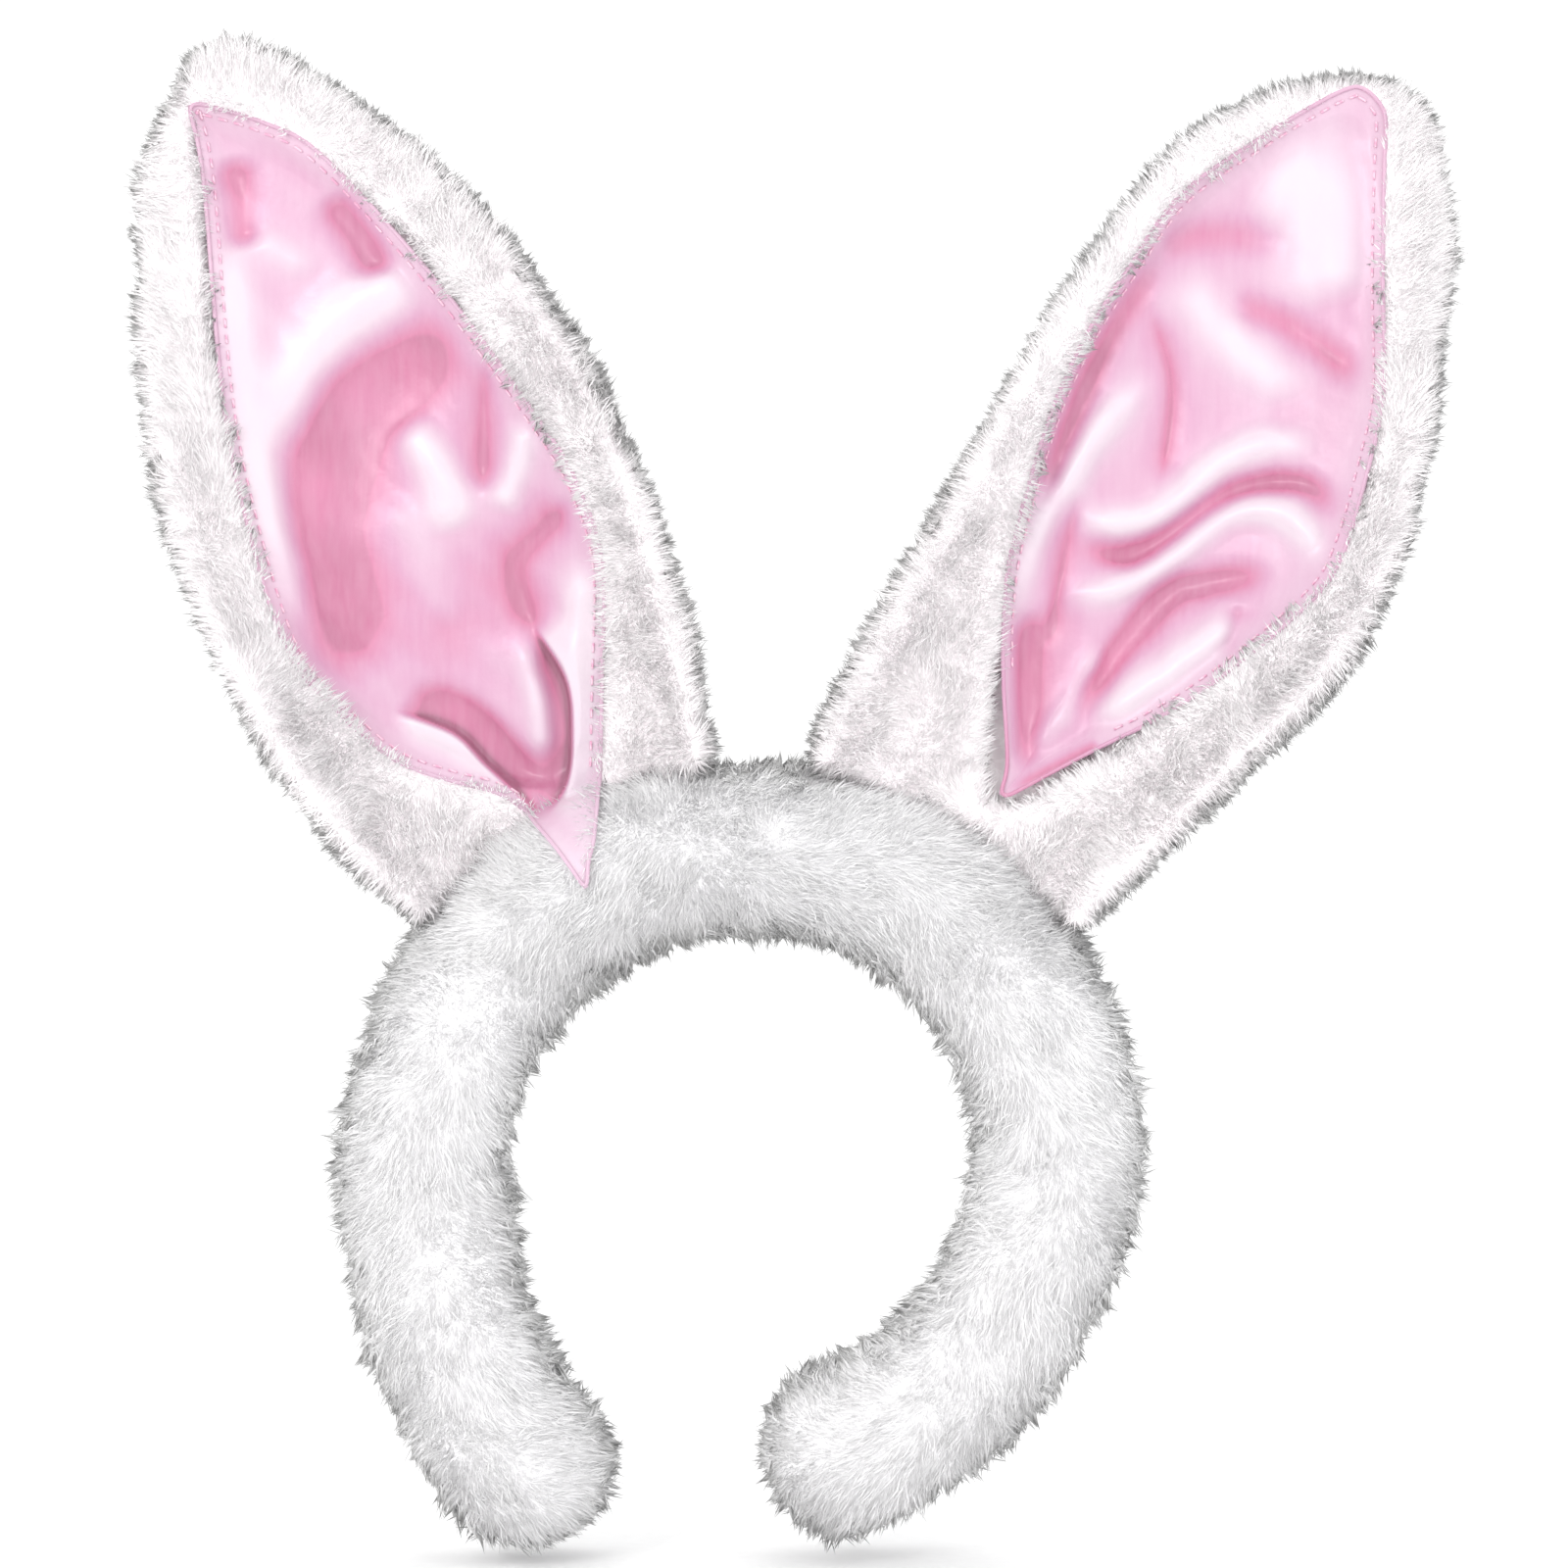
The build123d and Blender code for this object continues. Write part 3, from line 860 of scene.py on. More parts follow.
@dataclass(frozen=True)
class Furrier:
    """Turns a ground mesh into triangles and lays pile on the parts asked for."""

    material: bpy.types.Material

    def triangles(self, piece: bpy.types.Object) -> tuple[Array, Array]:
        """The vertices and triangles of a piece.

        Args:
            piece: a mesh object with no transform.

        Returns:
            The vertices and the triangles' vertex numbers.
        """
        mesh = piece.data
        mesh.calc_loop_triangles()
        points = np.zeros(len(mesh.vertices) * 3)
        mesh.vertices.foreach_get("co", points)
        faces = np.zeros(len(mesh.loop_triangles) * 3, int)
        mesh.loop_triangles.foreach_get("vertices", faces)
        return points.reshape(-1, 3), faces.reshape(-1, 3)

    def lay(self, ground: bpy.types.Object, pile: Pile, where: Callable[[Array], Array],
            comb: Callable[[Array, Array], Array], scale: Callable[[Array], Array],
            open_edge: Callable[[Array], Array] | None = None) -> bpy.types.Object:
        """Lays one piece of pile.

        Args:
            ground: the cloth it grows from.
            pile: the pile's own numbers.
            where: density from each triangle's centre.
            comb: combing direction from roots and normals.
            scale: share of full length from roots.
            open_edge: from roots, whether nothing stands behind an edge there.

        Returns:
            The pile.
        """
        points, faces = self.triangles(ground)
        weight = where(points[faces].mean(1))
        place, up = pile.roots(points, faces, weight)
        # How much a strand stands at an edge shapes its lock and sets the painted shade on its tip.
        aside = sideways(up) * (1.0 if open_edge is None else open_edge(place))
        return pile.grow(place, up, comb(place, up), scale(place), aside, self.material)


# ---------------------------------------------------------------- band

@dataclass(frozen=True)
class Arc:
    """A run of the band's centreline round a centre in the XZ plane, in millimetres and degrees."""

    centre: tuple
    radius: float
    start: float
    end: float

    def points(self, step: float) -> Array:
        """Points along the run, its end left out.

        Args:
            step: millimetres from one to the next.

        Returns:
            (x, z) pairs.
        """
        length = self.radius * abs(math.radians(self.end - self.start))
        angle = np.radians(np.linspace(self.start, self.end, max(2, round(length / step)), endpoint=False))
        return np.stack([self.centre[0] + self.radius * np.cos(angle),
                         self.centre[1] + self.radius * np.sin(angle)], 1)


@dataclass
class Band:
    """The plush-covered band, bent like a horseshoe, in two halves that meet at the top of the crown."""

    furrier: Furrier
    undercoat: bpy.types.Material
    crown_radius: float = 78.2
    radius: float = 17.4
    flex_angle: float = 25.0
    flex_reach: float = 20.0
    step: float = 1.6
    sides: int = 60
    lump_length: float = 30 * MM
    lump_height: float = 0.35 * MM
    split_angle: float = 38.0
    tail_top: float = 14.0
    tail_inset: float = 1.1
    pile_length: float = 7.6 * MM
    underpile_share: float = 0.72
    strands: int = 18500
    hairs: int = 46000

    def __post_init__(self) -> None:
        """Samples the end of the left satin, which hangs over the band."""
        left, right = (catmull(line, 10) for line in (LEFT_EAR.satin_left, LEFT_EAR.satin_right))
        ring = np.vstack([left, right[::-1]])
        self.tail = ring[ring[:, 1] < self.tail_top]

    def runs(self, side: Side) -> list[Arc]:
        """The runs of one half, from the crown's top to the tip.

        Args:
            side: which half.

        Returns:
            The runs.
        """
        r = self.crown_radius
        if side is Side.LEFT:
            return [Arc((0.0, 0.0), r, 90, 180), Arc((23.8, -5.0), 102.0, 180, 221)]
        turn = math.radians(20)
        inner = (r - 50.0) * math.cos(turn), (r - 50.0) * math.sin(turn)
        return [Arc((0.0, 0.0), r, 90, 20), Arc(inner, 50.0, 20, 0),
                Arc((inner[0] - 35.0, inner[1]), 85.0, 0, -67)]

    def line(self, side: Side) -> Array:
        """The centreline of one half in metres, as (x, z) pairs.

        Args:
            side: which half.

        Returns:
            The points.
        """
        runs = self.runs(side)
        last = runs[-1]
        end = math.radians(last.end)
        tip = np.array([[last.centre[0] + last.radius * math.cos(end),
                         last.centre[1] + last.radius * math.sin(end)]])
        return np.vstack([*(run.points(self.step) for run in runs), tip]) * MM

    def ground(self, side: Side) -> bpy.types.Object:
        """The knitted ground of one half.

        Args:
            side: which half.

        Returns:
            The ground.
        """
        line = self.line(side)
        tangent = unit(np.gradient(line, axis=0))
        cap = np.linspace(0, 1, 14)[1:-1] * math.pi / 2
        r = self.radius * MM
        centre = np.vstack([line, line[-1] + tangent[-1] * (np.sin(cap) * r)[:, None]])
        along = np.vstack([tangent, np.repeat(tangent[-1:], len(cap), 0)])
        size = np.concatenate([np.full(len(line), r), r * np.cos(cap)])
        out = np.stack([along[:, 1], -along[:, 0]], 1) * (-1 if side is Side.RIGHT else 1)
        angle = np.arange(self.sides) * 2 * math.pi / self.sides
        flat = (np.cos(angle)[None, :, None] * out[:, None])
        x = centre[:, None, 0] + flat[..., 0] * size[:, None]
        z = centre[:, None, 1] + flat[..., 1] * size[:, None]
        y = np.sin(angle)[None] * size[:, None]
        points = np.stack([x, y, z], -1).reshape(-1, 3)
        axis = np.stack([np.repeat(centre[:, 0], self.sides), np.zeros(len(points)),
                         np.repeat(centre[:, 1], self.sides)], 1)
        lumps = Waves(11, self.lump_length).at(points)[:, None]
        points = points + unit(points - axis) * lumps * self.lump_height
        faces = grid_faces(len(centre), self.sides, True)
        faces.append(tuple(range(self.sides))[::-1])
        faces.append(tuple(range(len(points) - self.sides, len(points))))
        if side is Side.RIGHT:
            faces = [face[::-1] for face in faces]
        return make_object(f"{side.value}_band_ground", points, faces, self.undercoat, Slot.PLUSH)

    def comb(self, points: Array, normals: Array) -> Array:
        """The pile lies down the band, from the crown to the tips.

        Args:
            points: the roots.
            normals: the ground's normals there.

        Returns:
            Directions.
        """
        down = np.stack([-points[:, 2], np.zeros(len(points)), points[:, 0]], 1)
        down *= -np.sign(points[:, :1] + 1e-9)
        settled = smooth(0.0, 32 * MM, np.abs(points[:, :1]))
        drift = np.stack([Waves(31 + k, 45 * MM).at(points) for k in range(3)], 1)
        return unit(down) * 0.8 * settled + drift * 0.35 + np.array([0.3, -0.15, 0.1]) * (1.4 - settled)

    def blend_ends(self, side: Side) -> tuple[Array, Array]:
        """Two points either side of the flex, one on the crown and one on the leg.

        Args:
            side: which half.

        Returns:
            The start, on the crown, and the end, on the leg.
        """
        angle = math.radians(180 - self.flex_angle if side is Side.LEFT else self.flex_angle)
        at = np.array([math.cos(angle), 0.0, math.sin(angle)]) * self.crown_radius * MM
        sign = 1 if side is Side.LEFT else -1
        down = np.array([-math.sin(angle), 0.0, math.cos(angle)]) * sign
        return at - down * self.flex_reach * MM, at + down * self.flex_reach * MM

    def build(self, side: Side) -> None:
        """Builds one half, with its pile.

        Args:
            side: which half.
        """
        ground = self.ground(side)
        leg = f"{side.value}_leg"
        split = self.crown_radius * MM * math.sin(math.radians(self.split_angle))
        piles = []
        shift = 0 if side is Side.LEFT else 7
        parts = (("crown_pile", 100, True, lambda z: z > split),
                 ("leg_pile", 140, True, lambda z: z <= split),
                 ("band_underpile", 180, False, lambda z: z > -1.0))
        for name, seed, bent, part in parts:
            pile = Pile(f"{side.value}_{name}", self.strands if bent else self.hairs,
                        self.pile_length * (1.0 if bent else self.underpile_share), seed + shift, bent)

            def where(centre: Array, part: Callable = part) -> Array:
                """Keeps one part of the band, off its closed ends and from under the satin's tail.

                Args:
                    centre: the triangles' centres.
                    part: which heights belong to the part.

                Returns:
                    1 where pile grows, and 0 elsewhere.
                """
                keep = part(centre[:, 2]) & (np.abs(centre[:, 0]) > 0.2 * MM)
                flat, _ = LEFT_EAR.local(centre)
                under = (outside_distance(flat, self.tail) < -self.tail_inset) & (centre[:, 1] < 0)
                return np.where(keep & ~under, 1.0, 0.0)

            piles.append(self.furrier.lay(ground, pile, where, self.comb, self._length, self._open_edge))
        start, end = self.blend_ends(side)
        for piece in (ground, *piles):
            tuple(start)
            tuple(end)
            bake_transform(piece)
        nodes = [f"{leg}_sleeve"] + (["crown_sleeve"] if side is Side.LEFT else [])
        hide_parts(*nodes)
        LOG.info("band half %s built", side.value)

    def _open_edge(self, points: Array) -> Array:
        """Whether the band's edge stands clear, where its locks take the edge shape and the painted shade on
        their tips.

        Args:
            points: the roots.

        Returns:
            1 where it does, and 0 where an ear rises behind it.
        """
        angle = np.degrees(np.arctan2(points[:, 0], points[:, 2]))
        outer = smooth(-4.0, 4.0, np.hypot(points[:, 0], points[:, 2]) / MM - self.crown_radius)
        left = smooth(-51.0, -46.0, angle) * smooth(-7.0, -10.0, angle)
        right = smooth(10.0, 14.0, angle) * smooth(52.0, 47.0, angle)
        return 1.0 - outer * (left + right)

    def _length(self, points: Array) -> Array:
        """Shares of the pile's full length, which vary softly along the band."""
        return 1.0 + 0.10 * Waves(57, 30 * MM).at(points)


# ---------------------------------------------------------------- ears

@dataclass(frozen=True)
class Outline:
    """A closed line of three-point arcs in an ear's own plane, in millimetres."""

    start: tuple
    arcs: tuple

    def points(self, per_arc: int = 12) -> Array:
        """Points round the outline.

        Args:
            per_arc: how many on each arc.

        Returns:
            (u, v) pairs.
        """
        out, here = [], self.start
        for middle, end in self.arcs:
            out.append(self._arc(np.array(here), np.array(middle), np.array(end), per_arc))
            here = end
        return np.vstack([*out, np.array([here])])

    @staticmethod
    def _arc(a: Array, m: Array, b: Array, count: int) -> Array:
        """Points on the circle through three points, from a up to b.

        Args:
            a: the first point.
            m: a point on the way.
            b: the last point.
            count: how many points.

        Returns:
            The points, without the last.
        """
        system = 2 * np.array([m - a, b - a], float)
        centre = np.linalg.solve(system, np.array([m @ m - a @ a, b @ b - a @ a], float))
        begin, mid, end = (math.atan2(*(p - centre)[::-1]) for p in (a, m, b))
        turn = (end - begin) % (2 * math.pi)
        if (mid - begin) % (2 * math.pi) > turn:
            turn -= 2 * math.pi
        angle = begin + np.linspace(0, turn, count, endpoint=False)
        return centre + np.linalg.norm(a - centre) * np.stack([np.cos(angle), np.sin(angle)], 1)


def polyline_distance(where: Array, line: Array) -> tuple[Array, Array, Array]:
    """How far points are from a line of straight runs.

    Args:
        where: (u, v) pairs.
        line: the line's points.

    Returns:
        The distance, the side (+1 left of the line, -1 right) and the share of its length passed.
    """
    best = np.full(len(where), 1e9)
    side = np.ones(len(where))
    share = np.zeros(len(where))
    lengths = np.linalg.norm(np.diff(line, axis=0), axis=1)
    total, passed = lengths.sum(), 0.0
    for a, b, length in zip(line[:-1], line[1:], lengths):
        run = b - a
        t = np.clip(((where - a) @ run) / max(length ** 2, 1e-9), 0, 1)
        gap = where - (a + t[:, None] * run)
        distance = np.linalg.norm(gap, axis=1)
        closer = distance < best
        best = np.where(closer, distance, best)
        side = np.where(closer, np.sign(run[0] * gap[:, 1] - run[1] * gap[:, 0] + 1e-12), side)
        share = np.where(closer, (passed + t * length) / total, share)
        passed += length
    return best, side, share


def outside_distance(where: Array, ring: Array) -> Array:
    """Distance outside a ring, negative inside it.

    Args:
        where: (u, v) pairs.
        ring: a closed ring's points, its first not repeated.

    Returns:
        The signed distances.
    """
    closed = np.vstack([ring, ring[:1]])
    distance, _, _ = polyline_distance(where, closed)
    crossings = np.zeros(len(where), int)
    for a, b in zip(closed[:-1], closed[1:]):
        spans = (a[1] > where[:, 1]) != (b[1] > where[:, 1])
        rise = b[1] - a[1] if b[1] != a[1] else 1e-9
        crossings += spans & (where[:, 0] < a[0] + (where[:, 1] - a[1]) * (b[0] - a[0]) / rise)
    return np.where(crossings % 2 == 1, -distance, distance)


class DistanceMap:
    LOW = np.array([-90.0, -60.0])
    SIZE = (190, 310)

    def __init__(self, ring: Array) -> None:
        """Measures the distances.

        Args:
            ring: a closed ring's points, its first not repeated.
        """
        u, v = np.meshgrid(np.arange(self.SIZE[0]), np.arange(self.SIZE[1]), indexing="ij")
        flat = np.stack([u.ravel(), v.ravel()], 1) + self.LOW
        self.grid = outside_distance(flat, ring).reshape(self.SIZE)

    def at(self, where: Array) -> Array:
        """The distances at points.

        Args:
            where: (u, v) pairs.

        Returns:
            Distances outside the ring, negative inside it.
        """
        place = np.clip(where - self.LOW, 0, np.array(self.SIZE) - 1.001)
        i, j = place.astype(int).T
        a, b = (place - np.floor(place)).T
        g = self.grid
        return ((1 - a) * ((1 - b) * g[i, j] + b * g[i, j + 1])
                + a * ((1 - b) * g[i + 1, j] + b * g[i + 1, j + 1]))

    def away(self, where: Array) -> Array:
        """The directions straight away from the ring."""
        u, v = np.array([1.0, 0.0]), np.array([0.0, 1.0])
        return unit(np.stack([self.at(where + u) - self.at(where - u),
                              self.at(where + v) - self.at(where - v)], 1))


class FoldKind(Enum):
    """How a fold's height changes across its line."""

    ROUND = "round"
    SHARP = "sharp"
    STEP = "step"


@dataclass(frozen=True)
class Fold:
    """One fold of the satin: a line, and how the cloth rises (+) or sinks (-) along it, in millimetres."""

    line: tuple
    height: float
    width: float
    kind: FoldKind = FoldKind.ROUND
    reach: float = 9.0

    def at(self, where: Array) -> Array:
        """The fold's height at points.

        Args:
            where: (u, v) pairs.

        Returns:
            Heights towards the front.
        """
        distance, side, share = polyline_distance(where, catmull(self.line, 6))
        fade = smooth(-0.02, 0.22, share) * smooth(-0.02, 0.22, 1 - share)
        if self.kind is FoldKind.STEP:
            signed = distance * side
            return self.height * fade * (smooth(-self.width, self.width, signed) - 0.5) \
                * np.exp(-(distance / self.reach) ** 2)
        if self.kind is FoldKind.SHARP:
            return self.height * fade * np.exp(-np.sqrt((distance / self.width) ** 2 + 0.02))
        return self.height * fade * np.exp(-(distance / self.width) ** 2)


@dataclass(frozen=True)
class EarShape:
    """One ear's plane, its outlines and the folds of its satin."""

    side: Side
    origin: tuple
    lean: float
    outline: Outline
    window: Outline
    satin_left: tuple
    satin_right: tuple
    folds: tuple
    cup_slope: float = 0.25
    set_back: float = 8.0
    cup_apex: float = -232.0
    hem_tones: tuple = (0.66, 0.72)

    @property
    def cup_cos(self) -> float:
        """The cosine that goes with the cup's slope."""
        return math.sqrt(1 - self.cup_slope ** 2)

    def cup(self, where: Array, depth: Array) -> Array:
        """Height to the front of the cupped layer at a depth.

        Args:
            where: (u, v) pairs in millimetres.
            depth: how far behind the middle layer, in millimetres.

        Returns:
            The heights.
        """
        c, s = self.cup_cos, self.cup_slope
        along = where[:, 1] - self.cup_apex
        a = c * c - s * s
        b = c * s * along + s * s * depth
        rest = (c * where[:, 0]) ** 2 - 2 * c * s * along * depth - depth ** 2
        return (b - np.sqrt(np.maximum(b * b - a * rest, 0.0))) / a - self.set_back

    def world(self, where: Array, height: Array) -> Array:
        """Points in the frame, in metres, from (u, v) and a height to the front.

        Args:
            where: (u, v) pairs in millimetres.
            height: heights to the front in millimetres.

        Returns:
            The points.
        """
        turn = math.radians(self.lean)
        x = self.origin[0] + where[:, 0] * math.cos(turn) - where[:, 1] * math.sin(turn)
        z = self.origin[1] + where[:, 0] * math.sin(turn) + where[:, 1] * math.cos(turn)
        return np.stack([x, -height, z], 1) * MM

    def local(self, points: Array) -> tuple[Array, Array]:
        """(u, v) pairs and depths, in millimetres, of points in the frame.

        Args:
            points: points in metres.

        Returns:
            The pairs and the depths.
        """
        turn = math.radians(self.lean)
        x, z = points[:, 0] / MM - self.origin[0], points[:, 2] / MM - self.origin[1]
        u = x * math.cos(turn) + z * math.sin(turn)
        v = -x * math.sin(turn) + z * math.cos(turn)
        front = -points[:, 1] / MM + self.set_back
        c, s = self.cup_cos, self.cup_slope
        along = v - self.cup_apex
        h, q = along * c + front * s, -along * s + front * c
        return np.stack([u, v], 1), c * np.sqrt(u ** 2 + q ** 2) - s * h

    def direction(self, flat: Array) -> Array:
        """Directions in the frame from (u, v) directions."""
        turn = math.radians(self.lean)
        return np.stack([flat[:, 0] * math.cos(turn) - flat[:, 1] * math.sin(turn), np.zeros(len(flat)),
                         flat[:, 0] * math.sin(turn) + flat[:, 1] * math.cos(turn)], 1)


LEFT_EAR = EarShape(
    Side.LEFT, (-46.0, 83.0), 24.0,
    Outline((-33, -14), (((-48, 22), (-54, 62)), ((-51.5, 112), (-36, 162)), ((-23.5, 188), (-8, 204)),
                         ((0.5, 208), (9, 203)), ((34, 165), (48, 118)), ((51.5, 80), (47.5, 40)),
                         ((42.5, 13), (35, -14)))),
    Outline((4, 9), (((-24, 29), (-41, 66)), ((-34, 122), (-16, 180)), ((-14, 190), (-9, 197)),
                     ((18, 164), (33, 115)), ((39, 75), (31, 40)), ((23, 22), (14, 9)))),
    ((1.2, -16), (0.2, -10), (-2.6, 0), (-8.5, 12.5), (-19.5, 21.8), (-29.5, 32), (-37.6, 50),
     (-41.5, 67.5), (-37.7, 101), (-31, 131), (-14.4, 181), (-10.5, 198.5)),
    ((2.4, -16), (5, -10.5), (9.8, -3.5), (24.7, 27.4), (36.9, 53.6), (39.4, 72.4), (37.7, 89.5),
     (28.5, 132.2), (15.1, 173.3), (5, 187.3), (-8, 198.5)),
    (Fold(((-34, 60), (-33, 105), (-26, 140), (-15, 172)), 2.4, 7.0),
     Fold(((33, 118), (14, 118), (-3.4, 114), (-17, 102), (-24.5, 85), (-26.5, 66), (-24, 50)), -3.2, 9.5),
     Fold(((14, 120), (-6, 104), (-12, 76), (0, 42)), -0.7, 15.0),
     Fold(((27, 134), (8, 137), (-10, 129), (-26, 112)), 1.9, 7.5),
     Fold(((-6, 184), (-9, 174), (-12, 160)), -2.3, 5.0),
     Fold(((13, 166), (16, 153), (15, 140)), -2.4, 5.5),
     Fold(((-12, 180), (-6, 160), (2, 148)), 0.9, 4.0),
     Fold(((6, 108), (9, 92), (6, 76)), 1.9, 5.5),
     Fold(((32, 114), (24, 98), (16.5, 82)), -2.0, 3.0, FoldKind.SHARP),
     Fold(((35, 94), (27, 85), (18, 76)), 1.7, 4.2),
     Fold(((38, 72), (27, 68), (16.5, 62.5), (15, 44)), -2.8, 3.6, FoldKind.SHARP),
     Fold(((-6, 92), (-3, 72), (-4, 55)), 0.8, 6.0),
     Fold(((34, 58), (28, 45), (21, 28), (12, 8)), 2.4, 5.5),
     Fold(((11, 47), (9, 32), (4, 16)), 1.5, 3.4),
     Fold(((-1.6, 3.2), (7.1, 9.6), (14, 22), (17, 33), (14.8, 48)), -5.0, 0.9, FoldKind.STEP, 7.0),
     Fold(((-25, 43), (-13.5, 32), (-9.4, 21.8), (-5.1, 11.8), (-1.8, 3.4)), -4.2, 1.0, FoldKind.STEP, 6.0),
     Fold(((-19, 46), (-9, 36), (-4, 24), (-0.5, 9)), -1.8, 3.6)))

RIGHT_EAR = EarShape(
    Side.RIGHT, (50.4, 83.3), -29.0,
    Outline((-36, -14), (((-37.4, 30), (-37, 75)), ((-36.8, 120), (-32, 160)), ((-22, 187), (-7, 204)),
                         ((7, 210), (21, 204)), ((34, 184), (44, 160)), ((54, 134), (60, 104)),
                         ((60.5, 80), (54, 54)), ((45, 22), (34, -14)))),
    Outline((3, 10), (((-13, 46), (-24, 82)), ((-30, 121), (-25, 160)), ((-17, 181), (-4, 196)),
                      ((3, 200), (9, 195)), ((27, 169), (41, 140)), ((49, 111), (47, 84)),
                      ((32, 46), (10, 10)))),
    ((6.3, 13), (4.2, 20.6), (-6.2, 37.4), (-14.5, 52.4), (-20.8, 68.3), (-27.8, 98.7), (-29.7, 120),
     (-28.7, 140), (-26.2, 162.2), (-16.2, 183.7), (-6.3, 201), (-1.3, 207.5)),
    ((8.3, 13), (20.9, 32.7), (31, 47.6), (39.9, 65), (49.1, 90), (50, 104), (45.8, 125), (40.2, 144),
     (27.6, 167.7), (15.3, 191.3), (8.8, 204), (3, 207.5)),
    (Fold(((-25, 150), (-26, 120), (-22.5, 92), (-17, 76)), -3.0, 4.5),
     Fold(((-12, 48), (-17, 70), (-16, 95), (-11.5, 122)), 1.9, 4.0),
     Fold(((-20, 136), (-7, 124), (-0.3, 111.6), (4.5, 97)), -1.8, 2.4, FoldKind.SHARP),
     Fold(((-13.6, 80), (0.7, 86), (9, 95), (14, 110), (21.7, 119.7), (34, 125)), 2.0, 3.8),
     Fold(((-8, 75), (7.2, 81), (16.5, 98), (23.7, 108.7), (35, 115), (47, 111)), -2.4, 3.2),
     Fold(((-5, 62), (8, 72), (16, 87), (21.5, 100), (31.7, 106), (42.8, 103), (47, 95)), 2.1, 3.6),
     Fold(((13, 36), (15.4, 59), (19.5, 76), (26.4, 83), (39, 93)), -2.4, 3.4),
     Fold(((18, 38), (26, 56), (31, 68), (38, 82)), 1.7, 4.5),
     Fold(((34.5, 82), (39, 68)), -1.3, 2.6, FoldKind.SHARP),
     Fold(((0, 50), (-3.8, 60), (-9.3, 77), (-12, 88)), -1.8, 2.4, FoldKind.SHARP),
     Fold(((-4, 147), (14, 148), (36, 144)), -1.3, 4.0),
     Fold(((-28, 147), (-13.4, 159), (3, 166)), -1.1, 4.5),
     Fold(((-18, 146), (0, 138), (26, 134)), 1.2, 6.0),
     Fold(((-12, 178), (4, 176), (22, 158)), 1.3, 13.0),
     Fold(((-8, 60), (2, 42), (12, 24)), -0.9, 10.0),
     Fold(((-10, 56), (-3, 42), (4, 28), (8, 18)), -2.6, 4.5),
     Fold(((7.5, 13.5), (12.5, 21.5), (17.5, 29), (22, 36)), -0.8, 1.2, FoldKind.STEP, 4.0),
     Fold(((7, 24), (11, 40), (11, 58)), 1.2, 3.5)),
    hem_tones=(0.62, 0.3))


